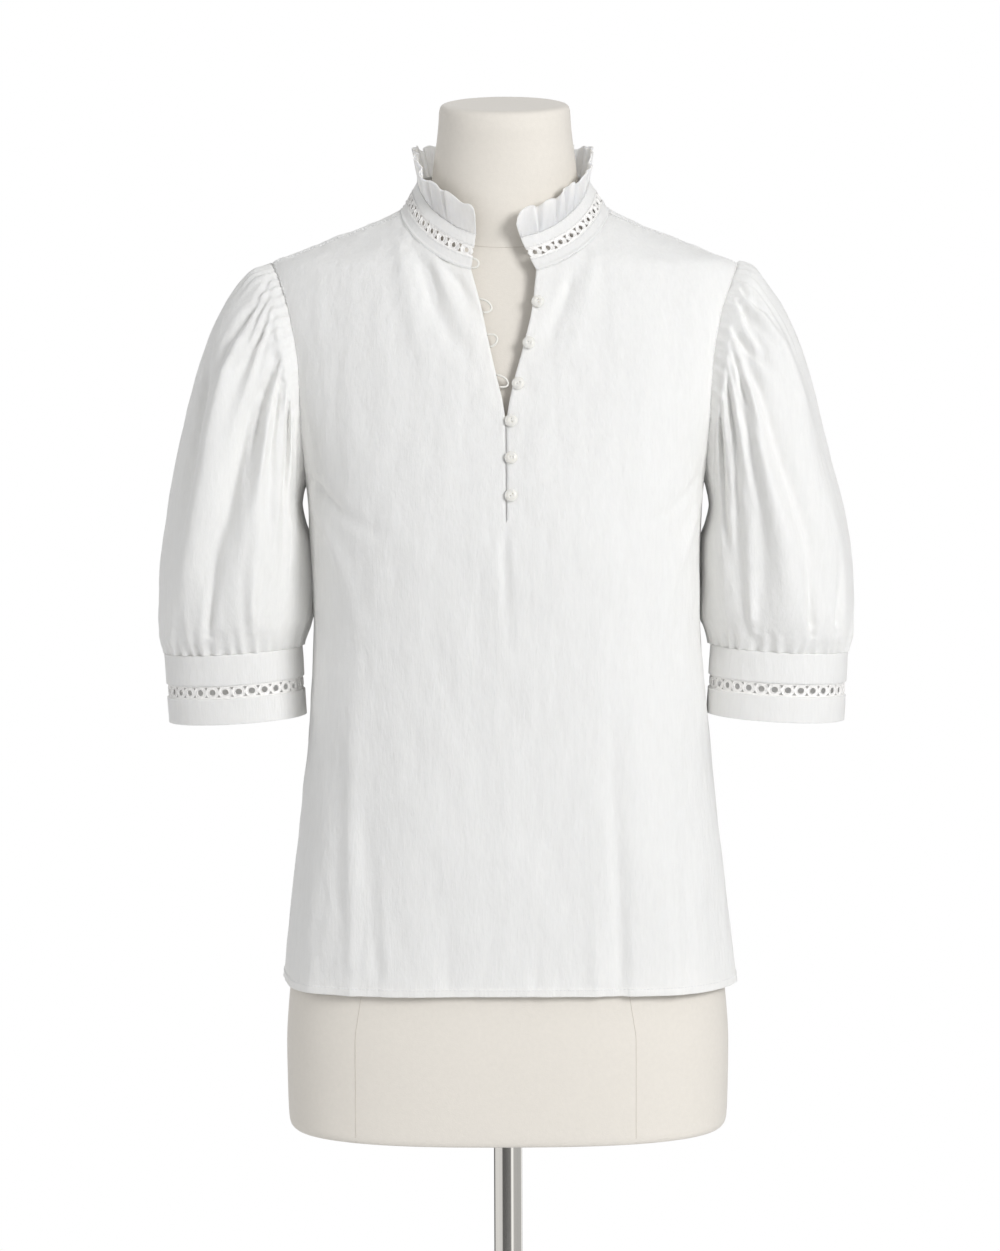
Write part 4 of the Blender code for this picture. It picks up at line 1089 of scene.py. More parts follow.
def dressed(p, back):
    """The panel's points with long folds, creases, crinkle and the turned hem."""
    rise = fold_rise(p)
    rise += BODY_CREASING * crease_rise(p, BACK_CREASES if back else FRONT_CREASES, on_face)
    rise += crumpled(p, BODY_CRUMPLE) + BODY_STAND_OFF
    high = p[..., 2] - hem_edge(angle_of(p))
    hem = part((HEM_TALL + 0.0006 - high) / 0.0012)
    pucker = bell((high - HEM_TALL) / 0.006)
    rise += HEM_RISE * hem + pucker * crumpled(p, HEM_PUCKER)
    made = p + outward_of(WORN, p) * np.maximum(rise, DEEPEST)[..., None]
    made[..., 0] += HANG_TO_LEFT * part((HANG_FROM - p[..., 2]) / HANG_OVER)
    return settled(made)


def panel_rows():
    """Shares up the panel: close together at the hem, with the armhole's foot at `split`."""
    split = PANEL_ROWS_BELOW / (PANEL_ROWS_BELOW + PANEL_ROWS_ABOVE)
    hem = np.array(HEM_ROWS) / (ARMPIT - HEM_SIDE)
    below = np.concatenate((hem, np.linspace(hem[-1], 1, PANEL_ROWS_BELOW - len(hem) + 2)[1:]))
    above = np.linspace(0, 1, PANEL_ROWS_ABOVE + 1)[1:]
    return np.concatenate((below * split, split + above * (1 - split))), split


def make_panel(name, back):
    """The front or the back, in one sheet. Its seams carry stitches of their own."""
    v, split = panel_rows()
    u = np.linspace(0, 1, PANEL_COLUMNS + 1)
    points = []
    faces = []
    seams = []
    for side in (-1, 1):
        half = dressed(panel_half(side, back, u, v, split), back)
        flip = (side < 0) != back
        rows, columns = half.shape[:2]
        faces += grid_faces(rows, columns, flip=flip, first=len(points) * rows * columns)
        points.append(half)
        normal = grid_normals(half) * (-1 if flip else 1)
        hem_row = int(np.argmin(np.abs(v / split * (ARMPIT - HEM_SIDE) - HEM_TALL)))
        seams += stitches(half[hem_row], normal[hem_row])
        arm = v >= split
        seams += stitches(half[arm, -2], normal[arm, -2])
        top = u >= NECK_SHARE
        seams += stitches(half[-2, top], normal[-2, top])
    mesh = mesh_of(name, np.concatenate([half.reshape(-1, 3) for half in points]), faces)
    piece = add_piece(name, welded(mesh, 0.00001), COTTON, (name,))
    thicken(piece, SHEET_CLOTH)
    sewn = add_piece(f"{name}_stitches", joined(f"{name}_stitches", seams), SEWING)
    return piece, sewn


# Sleeves
ring = {column: curve(SLEEVE_RINGS, column, key=None) for column in Ring._fields}
Gather = namedtuple("Gather", "turn size reach width lean")
GATHER_START = 0.22
GATHER_FADE = 1.2
GATHER_SPREAD = 0.9


def cuff_point(side, turn, drop):
    """The cuff's outer face, by the turn from its outer side towards the front."""
    tilt = radians(CUFF_TILT)
    ahead, forward = round_by(turn)
    across = CUFF_HALF_WIDTH * ahead
    x = CUFF_X + across * cos(tilt) - drop * sin(tilt)
    z = CUFF_TOP - across * sin(tilt) - drop * cos(tilt)
    return points_of(side * x, -CUFF_HALF_DEPTH * forward, z)


def sleeve_plain(level, turn):
    """The wearer's left sleeve without its gathers, and the way out of it."""
    level, turn = np.broadcast_arrays(np.asarray(level, float), np.asarray(turn, float))
    ahead, forward = round_by(turn)
    outer_x, outer_z = ring["outer_x"](level), ring["outer_z"](level)
    inner_x, inner_z = ring["inner_x"](level), ring["inner_z"](level)
    depth = np.where(forward > 0, ring["front"](level), ring["back"](level))
    off = points_of((outer_x - inner_x) / 2 * ahead, -forward * depth, (outer_z - inner_z) / 2 * ahead)
    middle = points_of((outer_x + inner_x) / 2, 0, (outer_z + inner_z) / 2)
    first = SLEEVE_RINGS[0]
    depth = np.where(forward > 0, first.front, first.back)
    flat = points_of(
        (first.outer_x + first.inner_x) / 2 + (first.outer_x - first.inner_x) / 2 * ahead,
        -forward * depth,
        (first.outer_z + first.inner_z) / 2 + (first.outer_z - first.inner_z) / 2 * ahead,
    )
    made = middle + off + (armhole_point(turn) - flat) * ring["armhole"](level)[..., None]
    behind = bell((turn - BULGE_TURN) / BULGE_WIDTH)
    behind = BULGE * behind * part((level - BULGE_FIRST) / BULGE_FADE)
    made[..., 0] -= behind * part((BULGE_LAST - level) / BULGE_FADE)
    into_cuff = part(level - (LAST_RING - 1))
    into_cuff = (into_cuff * into_cuff * (3 - 2 * into_cuff))[..., None]
    made = made * (1 - into_cuff) + cuff_point(1, turn, 0.0) * into_cuff
    return made, unit(off)


def cap_gathers(rng):
    """Gathers at the sleeve's head, closest together over the shoulder."""
    made = []
    turn = -CAP_REACH
    while turn < CAP_REACH:
        middle = 1 - abs(turn) / CAP_REACH * 0.55
        size = rng.uniform(0.0014, 0.0034) * middle
        reach, width, lean = rng.uniform(1.3, 4.4), rng.uniform(1.5, 2.5), rng.uniform(-1.5, 1.5)
        made.append(Gather(turn, size, reach, width, lean))
        turn += rng.uniform(4.2, 7.6)
    return made


def cuff_gathers(rng):
    """Gathers into the cuff, all round it."""
    made = []
    turn = 0.0
    while turn < 356.0:
        size, reach = rng.uniform(0.0020, 0.0046), rng.uniform(1.0, 3.6)
        width, lean = rng.uniform(2.3, 3.8), rng.uniform(-3.0, 3.0)
        made.append(Gather(turn, size, reach, width, lean))
        turn += rng.uniform(7.5, 13.5)
    return made


def gather_rise(turn, off, gathers):
    """How far the gathers lift points at a distance from their seam, in rings."""
    rise = np.zeros(np.broadcast(turn, off).shape)
    for gather in gathers:
        fade = part(off / GATHER_START) * part(1 - off / gather.reach) ** GATHER_FADE
        away = (turn - gather.turn - gather.lean * off + 180) % 360 - 180
        width = gather.width * (1 + GATHER_SPREAD * off / gather.reach)
        rise = rise + gather.size * fade * crease_profile(away / width)
    return rise


def make_sleeve(name, side, table, seed):
    """A sleeve with its gathers and creases, tucked under the armhole seam and the cuff."""
    level = np.linspace(0, LAST_RING, SLEEVE_ALONG + 1)[:, None]
    turn = np.linspace(0, 360, SLEEVE_AROUND, endpoint=False)[None, :]
    plain, outward = sleeve_plain(level, turn)
    rng = np.random.default_rng(seed)

    def place(x, z, back):
        """Points of the plain sleeve nearest to places seen from the front or the back."""
        spots = plain[:, plain.shape[1] // 2 :] if back else plain[:, : plain.shape[1] // 2]
        spots = spots.reshape(-1, 3)
        far = (spots[None, :, 0] - x[:, None]) ** 2 + (spots[None, :, 2] - z[:, None]) ** 2
        return spots[np.argmin(far, axis=1)]

    wave = np.sin(np.radians(turn) * SLEEVE_FOLDS + SLEEVE_PHASE * side + SLEEVE_TWIST * level)
    ahead, forward = round_by(turn)
    keep = np.where(ahead < INNER_AHEAD, INNER_KEEP, np.sqrt(np.abs(forward)))
    rise = FOLD_KEEP * ring["fold"](level) * wave * keep
    rise = rise + gather_rise(turn, level, cap_gathers(rng))
    rise = rise + gather_rise(turn, LAST_RING - level, cuff_gathers(rng))
    calm = part(level / CALM_RINGS) * part((LAST_RING - level) / CALM_RINGS)
    rise += SLEEVE_CREASING * calm * crease_rise(plain, table, place)
    rise += calm * crumpled(plain, SLEEVE_CRUMPLE, seed)
    tuck = part(1 - level / HEAD_TUCK_RINGS)
    rise = rise - HEAD_TUCK * tuck
    plain[..., 0] -= HEAD_INWARD * tuck
    under = part(1 - (LAST_RING - level) / CUFF_TUCK_RINGS)
    rise = rise - CUFF_TUCK * under
    plain[..., 2] -= CUFF_TUCK * under
    points = settled((plain + outward * rise[..., None]) * np.array((side, 1, 1)))
    return cloth_grid(name, points, COTTON, closed=True, flip=side < 0)


# Lace
LaceCut = namedtuple("LaceCut", "hole half tall")
CUFF_LACE_CUT = LaceCut(0.00235, 0.00135, 0.0023)
COLLAR_LACE_CUT = LaceCut(0.0016, 0.00145, 0.0026)
LACE_MARGIN = 0.0013
LACE_CLOTH = 0.0007
RING_SIDES = 20
LACE_LIFT = 0.0001
LACE_RING_THREAD = 0.00036
LACE_BAR_THREAD = 0.0003
LACE_EDGE_THREAD = 0.0004


def lace_cell(pitch, height, cut):
    """One flat cell of lace: a round hole, and half a small hole in each corner."""
    half, tall, margin = cut.half, cut.tall, LACE_MARGIN
    notch = [(0, margin), (half, margin), (0, margin + tall)]
    left = [(0, 0)] + notch + [(x, height - y) for x, y in reversed(notch)] + [(0, height)]
    outline = left + [(pitch - x, y) for x, y in reversed(left)]
    turn = np.linspace(0, 2 * pi, RING_SIDES, endpoint=False)
    hole = [(pitch / 2 + cut.hole * cos(a), height / 2 + cut.hole * sin(a)) for a in turn]
    shape = bmesh.new()
    for loop in (outline, hole):
        corners = [shape.verts.new((x, y, 0)) for x, y in loop]
        for k, corner in enumerate(corners):
            shape.edges.new((corner, corners[(k + 1) % len(corners)]))
    bmesh.ops.triangle_fill(shape, use_beauty=True, edges=shape.edges, normal=(0, 0, 1))
    shape.verts.index_update()
    points = np.array([vert.co[:] for vert in shape.verts])
    faces = []
    for face in shape.faces:
        corners = [vert.index for vert in face.verts]
        first, second, third = points[corners[:3]]
        upward = np.cross(second - first, third - first)[2] > 0
        faces.append(corners if upward else corners[::-1])
    shape.free()
    return points, faces


def lace_parts(surface, cells, length, height, cut, flip):
    """A strip of lace cells, and the raised threads round its holes and along its edges.

    `surface` sets points on the strip by shares along and up it, and a lift off it.
    """
    pitch = length / cells
    flat, faces = lace_cell(pitch, height, cut)
    faces = [face[::-1] for face in faces] if flip else faces
    cloth = []
    threads = []
    turn = np.linspace(0, 2 * pi, RING_SIDES, endpoint=False)
    for k in range(cells):
        cloth.append((surface((flat[:, 0] / pitch + k) / cells, flat[:, 1] / height, 0.0), faces))
        radius = cut.hole + 0.0004
        along = (k + 0.5 + radius * np.cos(turn) / pitch) / cells
        path = surface(along, 0.5 + radius * np.sin(turn) / height, LACE_LIFT)
        threads.append(tube_mesh(path, LACE_RING_THREAD, sides=6, closed=True))
    reach = cut.half + 0.0002
    for k in range(cells + 1):
        for low in (True, False):
            tip = LACE_MARGIN + cut.tall + 0.0002
            bar = np.array(((-reach, LACE_MARGIN + 0.0001), (0, tip), (reach, LACE_MARGIN + 0.0001)))
            along = (k * pitch + bar[:, 0]) / length
            if along.min() < 0 or along.max() > 1:
                continue
            up = bar[:, 1] / height if low else 1 - bar[:, 1] / height
            line = resampled(np.stack((along, up), axis=1), 7)
            path = surface(line[:, 0], line[:, 1], LACE_LIFT)
            threads.append(tube_mesh(path, LACE_BAR_THREAD, sides=5))
    for up in (0.03, 0.97):
        along = np.linspace(0, 1, cells * 6 + 1)
        path = surface(along, up + 0 * along, LACE_LIFT)
        threads.append(tube_mesh(path, LACE_EDGE_THREAD, sides=6))
    return cloth, threads


def make_lace(name, surface, cells, length, height, cut, flip):
    cloth, threads = lace_parts(surface, cells, length, height, cut, flip)
    mesh = welded(joined(name, cloth), 0.000005)
    piece = add_piece(name, mesh, LACE_COTTON, (name,))
    thicken(piece, LACE_CLOTH)
    raised = add_piece(f"{name}_threads", joined(f"{name}_threads", threads), LACE_COTTON)
    return piece, raised


def make_cuff(side, word):
    """A cuff: two bands with a lace ring between them, and their stitches."""
    turn = np.linspace(0, 360, CUFF_AROUND, endpoint=False)
    seams = []
    bands = []
    for place, top, bottom in (("upper", 0.0, CUFF_UPPER), ("lower", CUFF_LACE, CUFF_BOTTOM)):
        drops = np.linspace(top, bottom, 13)
        points = np.stack([cuff_point(side, turn, drop) for drop in drops])
        outward = unit(points - points.mean(axis=1, keepdims=True))
        wave = crumpled(points, CUFF_CRUMPLE[:1], side) + crumpled(points, CUFF_CRUMPLE[1:])
        points = points + outward * wave[..., None]
        bands.append(band_grid(f"cuff_{word}_{place}", points, closed=True, flip=side > 0))
        for row in (1, -2):
            path = np.vstack((points[row], points[row][:1]))
            out = np.vstack((outward[row], outward[row][:1]))
            seams += stitches(path, out)
    sewn = add_piece(f"cuff_{word}_stitches", joined("cuff_stitches", seams), SEWING)

    around = 2 * pi * ((CUFF_HALF_WIDTH ** 2 + CUFF_HALF_DEPTH ** 2) / 2) ** 0.5
    laces = []
    for half, start in (("front", 0.0), ("back", 180.0)):

        def surface(along, up, lift, start=start):
            place = cuff_point(side, start + 180 * along, CUFF_LACE + (CUFF_UPPER - CUFF_LACE) * up)
            middle = cuff_point(side, 0.0, 0.0) * 0.5 + cuff_point(side, 180.0, 0.0) * 0.5
            out = (place - middle) * np.array((1, 1, 0))
            return place + unit(out) * lift

        name = f"cuff_{word}_lace_{half}"
        height = CUFF_LACE - CUFF_UPPER
        cells = CUFF_CELLS // 2
        laces += make_lace(name, surface, cells, around / 2, height, CUFF_LACE_CUT, side > 0)
    return bands, laces, sewn


# Collar
def collar_top_point(turn):
    """The collar's top edge, by the turn in degrees round the neck from the front."""
    ahead, across = round_by(turn)
    x = np.where(across > 0, COLLAR_HALF_LEFT, COLLAR_HALF_RIGHT) * across
    drop = dip(ahead, COLLAR_FRONT_DROP)
    depth = np.where(ahead > 0, COLLAR_FRONT_DEPTH, COLLAR_BACK_DEPTH)
    return points_of(x, -depth * ahead, COLLAR_SIDE - drop)


def collar_point(along, up):
    """The stand collar, from the wearer's left front end round the back to the right."""
    along, up = np.broadcast_arrays(np.asarray(along, float), np.asarray(up, float))
    start = COLLAR_RIGHT_END.foot + (COLLAR_RIGHT_END.top - COLLAR_RIGHT_END.foot) * up
    stop = 360 - COLLAR_LEFT_END.foot - (COLLAR_LEFT_END.top - COLLAR_LEFT_END.foot) * up
    turn = start + (stop - start) * along
    return neck_point(turn) * (1 - up[..., None]) + collar_top_point(turn) * up[..., None]


def collar_outward(along, up):
    """The way out of the collar."""
    step, climb = 0.004, 0.02
    along, up = np.clip(along, step, 1 - step), np.asarray(up)
    across = collar_point(along + step, up) - collar_point(along - step, up)
    rise = collar_point(along, up + climb) - collar_point(along, up - climb)
    return unit(np.cross(across, rise))


def collar_tall():
    return float(np.linalg.norm(collar_point(0.5, 1.0) - collar_point(0.5, 0.0)))


def collar_around():
    line = collar_point(np.linspace(0, 1, 200), 0.5)
    return float(np.linalg.norm(np.diff(line, axis=0), axis=1).sum())


WELT_RISE = 0.0009
WELT_AT = 0.035
WELT_WIDTH = 0.045
FOOT_LAP = 0.03
FOOT_OVER = 0.0005


def make_collar():
    """The stand collar: two bands with a strip of lace between them."""
    along = np.linspace(0, 1, COLLAR_ALONG + 1)
    seams = []
    bands = []
    for node, low, high in (("collar_lower", 0.0, COLLAR_LOWER), ("collar_upper", COLLAR_LACE, 1.0)):
        ups = np.linspace(low - FOOT_LAP * (low == 0.0), high, 17)
        points = collar_point(along[None, :], ups[:, None])
        out = collar_outward(along[None, :], ups[:, None])
        wave = crumpled(points, COLLAR_CRUMPLE)
        if low == 0.0:
            wave += WELT_RISE * bell((ups[:, None] - WELT_AT) / WELT_WIDTH) + FOOT_OVER
        points = points + out * wave[..., None]
        bands.append(band_grid(node, points))
        for row in (1, -2):
            seams += stitches(points[row], out[row])
    sewn = add_piece("collar_stitches", joined("collar_stitches", seams), SEWING)

    def surface(along, up, lift):
        up = COLLAR_LOWER + (COLLAR_LACE - COLLAR_LOWER) * up
        return collar_point(along, up) + collar_outward(along, up) * lift

    height = (COLLAR_LACE - COLLAR_LOWER) * collar_tall()
    length = collar_around()
    laces = make_lace("collar_lace", surface, COLLAR_CELLS, length, height, COLLAR_LACE_CUT, False)
    return bands, laces, sewn


Pleat = namedtuple("Pleat", "at depth width lean")
FIRST_PLEAT = Pleat(0.0165, 0.0062, 0.0024, -0.0020)
LAST_PLEAT_FROM_END = 0.028
# How far from each end the frill's corner is rounded, and its height at the very end
RIGHT_CORNER = (0.0150, 0.42)
LEFT_CORNER = (0.0075, 0.62)
TIGHT_WIDTH = 0.0009
TIGHT_FADE = 0.30
NOTCH_SHARE = 0.42
SWELL_RIGHT = 0.0040
SWELL_LEFT = 0.0010
SWELL_OVER = 0.010


def ruffle_pleats(rng, length):
    """Deep creases between the frill's broad soft folds, unevenly spaced, in metres."""
    pleats = [FIRST_PLEAT]
    while pleats[-1].at < length - LAST_PLEAT_FROM_END:
        at = pleats[-1].at + rng.uniform(0.0095, 0.0195)
        depth, width = rng.uniform(0.0036, 0.0078), rng.uniform(0.0016, 0.0030)
        pleats.append(Pleat(at, depth, width, rng.uniform(-0.0030, 0.0030)))
    return pleats


def waves(along, *rows):
    """A sum of waves along a strip, each by its size, its count and its start."""
    return sum(size * np.sin(2 * pi * count * along + start) for size, count, start in rows)


def make_ruffle():
    """The collar's gathered frill, open in broad uneven folds towards its top."""
    rng = np.random.default_rng(5)
    length = collar_around()
    along = np.linspace(0, 1, RUFFLE_ALONG + 1)[None, :]
    up = np.linspace(0, 1, RUFFLE_UP + 1)[:, None]
    seat = collar_point(along, RUFFLE_SEAT)
    turn = COLLAR_RIGHT_END.top + (360 - COLLAR_LEFT_END.top - COLLAR_RIGHT_END.top) * along
    ahead, across = round_by(turn)
    outward = points_of(across, -ahead, 0)
    sideways = points_of(ahead, across, 0)
    spot = along * length
    rounding = np.ones(along.shape)
    for from_end, (corner, end_height) in ((spot, RIGHT_CORNER), (length - spot, LEFT_CORNER)):
        share = part(from_end / corner)
        rounded = end_height + (1 - end_height) * np.sqrt(1 - (1 - share) ** 2)
        rounding = np.minimum(rounding, rounded)
    out = np.zeros((RUFFLE_UP + 1, RUFFLE_ALONG + 1))
    notch = np.zeros(along.shape)
    for pleat in ruffle_pleats(rng, length):
        aside = abs(sin(radians(float(np.interp(pleat.at, spot[0], turn[0])))))
        pleat = pleat._replace(depth=pleat.depth * (1 - RUFFLE_CALM * aside ** 3))
        away = spot - pleat.at - pleat.lean * up
        width = pleat.width * (0.45 + 0.55 * up)
        out = out - pleat.depth * (0.05 + 0.95 * up ** 0.75) * bell(away / width)
        out = out + 0.30 * pleat.depth * up * bell(away / (2.6 * width))
        aside = (spot - pleat.at - pleat.lean) / (pleat.width * 1.3)
        notch = notch + pleat.depth * bell(aside)
    tight = np.zeros(out.shape)
    at = 0.002
    while at < length:
        tight += rng.uniform(0.0002, 0.0006) * bell((spot - at) / TIGHT_WIDTH) * np.ones(up.shape)
        at += rng.uniform(0.0026, 0.0048)
    tight = tight * part(up / 0.05) * bell(up / TIGHT_FADE)
    drift = waves(along, (0.0014, 7, 0.8), (0.0010, 17, 2.0))
    out = out + tight + up * (RUFFLE_FLARE + drift) - RUFFLE_BEHIND
    step = waves(along, (0.0014, 11, 0.4), (0.0010, 19, 1.3))
    lift = (RUFFLE_HEIGHT + 0.0008) * up * (rounding - NOTCH_SHARE * notch / RUFFLE_HEIGHT)
    lift = lift + step * up ** 2 * rounding
    swell = SWELL_RIGHT * up * bell(spot / SWELL_OVER)
    swell = swell - SWELL_LEFT * up * bell((length - spot) / SWELL_OVER)
    points = seat + outward * out[..., None] - sideways * swell[..., None]
    points[..., 2] += lift + RUFFLE_BACK_RISE * up * (1 - ahead) / 2
    points += outward * crumpled(points, RUFFLE_CRUMPLE)[..., None]
    return cloth_grid("collar_ruffle", points, FRILL_COTTON)


# Buttons and loops
def front_frame(x, z):
    """A point of the front's outer face with its normal, and the directions on it."""
    point = on_face(np.array(x), np.array(z))
    normal = outward_of(WORN, point[None])[0]
    across = np.cross((0, 0, 1), normal)
    across /= np.linalg.norm(across)
    return point, normal, across, np.cross(normal, across)


# The sunk middle of a button, and how far each is turned from the one before
BUTTON_WELL = 0.00055
WELL_SHARE = 0.42
FIRST_TURN = 0.5
NEXT_TURN = 1.1
HOLE_SPREAD = 0.0011
HOLE_RADIUS = 0.00062
HOLE_DEPTH = 0.0007


def make_button(name, button, number):
    """A domed button with a raised rim and two sunk holes, on its thread shank."""
    x = float(slit_right(button.z)) + BUTTON_INSET
    point, normal, across, up = front_frame(x, button.z)
    rings = np.linspace(0, 1, 25)
    turn = np.linspace(0, 2 * pi, 64, endpoint=False)
    radius = BUTTON_RADIUS * rings[:, None] + 0 * turn[None, :]
    share = radius / BUTTON_RADIUS
    edge = np.sqrt(np.clip(1 - share ** 6, 0, 1))
    dome = BUTTON_RIM * 0.6 + BUTTON_DOME * (1 - share ** 2)
    high = BUTTON_STAND + BUTTON_RIM * 0.4 + dome * edge
    high -= BUTTON_WELL * np.exp(-((share / WELL_SHARE) ** 4))
    a = radius * np.cos(turn)[None, :]
    b = radius * np.sin(turn)[None, :]
    twist = FIRST_TURN + number * NEXT_TURN
    for way in (-1, 1):
        hole_a, hole_b = way * HOLE_SPREAD * cos(twist), way * HOLE_SPREAD * sin(twist)
        far = np.hypot(a - hole_a, b - hole_b)
        high -= HOLE_DEPTH * np.exp(-((far / HOLE_RADIUS) ** 4))
    under = [(BUTTON_RADIUS * 0.985, BUTTON_STAND + 0.0002), (BUTTON_RADIUS * 0.8, BUTTON_STAND)]
    under += [(SHANK_RADIUS, BUTTON_STAND), (SHANK_RADIUS, SEAM_GAP)]
    lots = [points_of(a, b, high)]
    for r, h in under:
        lots.append(points_of(r * np.cos(turn), r * np.sin(turn), h)[None])
    local = np.concatenate(lots)
    frame_axes = np.stack((across, up, normal))
    placed = point + local @ frame_axes
    faces = grid_faces(*placed.shape[:2], closed=True, flip=True)
    mesh = welded(mesh_of(name, placed, faces), 0.000001, solid=True)
    add_piece(name, mesh, PEARL, (name,))


def half_round(share):
    """Across and along of a thread's turn: out, round and back."""
    return sin(pi * share), cos(pi * share)


def thread_piece(name, path):
    """A loop of two-ply thread: a round core with a fine twist on it."""
    core = tube_mesh(path, LOOP_RADIUS, sides=10)
    add_piece(name, joined(name, [core] + twist_of(path)), LOOP_THREAD, (name,))


TWIST_STEPS = 90
TWIST_PITCH = 0.0022
TWIST_OUT = 0.55
TWIST_THICK = 0.45


def twist_of(path):
    """Two thin strands wound round a path."""
    path = resampled(path, TWIST_STEPS)
    way = np.gradient(path, axis=0)
    way = unit(way)
    side = np.cross(way, np.array((0.0, 1.0, 0.0)))
    side /= np.maximum(np.linalg.norm(side, axis=1, keepdims=True), 1e-9)
    other = np.cross(way, side)
    length = lengths_along(path)
    made = []
    for start in (0.0, pi):
        turn = (length / TWIST_PITCH * 2 * pi + start)[:, None]
        spot = path + LOOP_RADIUS * TWIST_OUT * (np.cos(turn) * side + np.sin(turn) * other)
        made.append(tube_mesh(spot, LOOP_RADIUS * TWIST_THICK, sides=5))
    return made


def make_slit_loop(name, loop):
    path = []
    for k in range(LOOP_STEPS):
        out, rise = half_round(k / (LOOP_STEPS - 1))
        z = loop.z + loop.spread * rise - loop.drop * out
        x = float(slit_left(z)) + loop.reach * out ** 0.8
        point, normal, _, _ = front_frame(x, z)
        path.append(point - normal * CLOTH / 2)
    thread_piece(name, path)


def make_collar_loop(name, loop):
    middle = COLLAR_LOWER * COLLAR_LOOP_AT
    end = collar_point(1.0, middle)
    across = end - collar_point(0.99, middle)
    across /= np.linalg.norm(across)
    up = collar_point(1.0, 1.0) - collar_point(1.0, 0.0)
    up /= np.linalg.norm(up)
    inward = np.cross(up, across)
    start = end + inward / np.linalg.norm(inward) * BAND_CLOTH / 2
    path = []
    for k in range(LOOP_STEPS):
        out, rise = half_round(k / (LOOP_STEPS - 1))
        turned_up = up * (loop.spread * rise - loop.drop * out)
        path.append(start + across * loop.reach * out ** 0.8 + turned_up)
    thread_piece(name, path)


def make_fastened_loop(name, button):
    edge = float(slit_left(button.z))
    shank = float(slit_right(button.z)) + BUTTON_INSET
    half = SHANK_RADIUS + LOOP_RADIUS + 0.0003
    path = []
    for k in range(LOOP_STEPS):
        out, rise = half_round(k / (LOOP_STEPS - 1))
        x = edge + (shank - edge + half) * out ** 0.7
        point, normal, _, _ = front_frame(x, button.z + half * 1.15 * rise)
        path.append(point + normal * (LOOP_RADIUS + SEAM_GAP))
    thread_piece(name, path)


# Dress form and stand
def form_body():
    """The form's sections: its own below the bust, and the cloth's less its ease above."""

    def eased(row, ease):
        sizes = [max(size - ease, THINNEST) for size in (row.half_width, row.front, row.back)]
        return Section(row.z, *sizes, row.square)

    upper = []
    for row in GARMENT:
        if row.z > FORM_BELOW[-1].z:
            climb = max((row.z - ARMPIT) / (SHOULDER_TIP - ARMPIT), 0)
            upper.append(eased(row, CLOTH + CHEST_EASE + (SHOULDER_EASE - CHEST_EASE) * climb))
    neck = []
    for row in NECK:
        low = min(max((NECK_EASE_TOP - row.z) / (NECK_EASE_TOP - NECK_EASE_FOOT), 0), 1)
        neck.append(eased(row, CLOTH + NECK_EASE + (NECK_FOOT_EASE - NECK_EASE) * low))
    return Stretch((*FORM_BELOW, *upper), 0), Stretch(neck, 1)


# Heights of the rows of points round the form's lower edge and its cap
FORM_LIP = (0.6350, 0.6354, 0.6360, 0.6367, 0.6380, 0.6400, 0.6430, 0.6470, 0.6520, 0.6580)
FORM_RIM = (1.426, 1.428, 1.4295, 1.4305, 1.4315, 1.4325, 1.4335, 1.4345, 1.4352, 1.4357, 1.4360)
FORM_SEAM = 0.00022
SEAM_TOP = 1.20
PRINCESS_HIP = 0.108
SEAMS_ASIDE = 0.0095
PRINCESS_WAIST = 0.070
PRINCESS_BUST = 0.078
PRINCESS_SHOULDER = 0.080
NECK_SEAM_FRONT = 1.3235
NECK_SEAM_RISE = 0.034
NECK_SEAM_HALF = 0.060
NECK_SEAM_DEEP = 0.060


def princess_x(z):
    """How far the front's and back's long seams lie from the middle, by height."""
    heights = (0.635, 0.72, 0.96, 1.10, 1.34)
    widths = (PRINCESS_HIP, PRINCESS_HIP, PRINCESS_WAIST, PRINCESS_BUST, PRINCESS_SHOULDER)
    return np.interp(z, heights, widths)


def foot_line(body, turns):
    """The seam at the foot of the neck: low at the front, higher behind."""
    x, y = NECK_SEAM_HALF * np.sin(turns), -NECK_SEAM_DEEP * np.cos(turns)
    z = NECK_SEAM_FRONT + NECK_SEAM_RISE * (1 - np.cos(turns)) / 2
    return from_inside(body, points_of(0, 0, z), points_of(x, y, z))


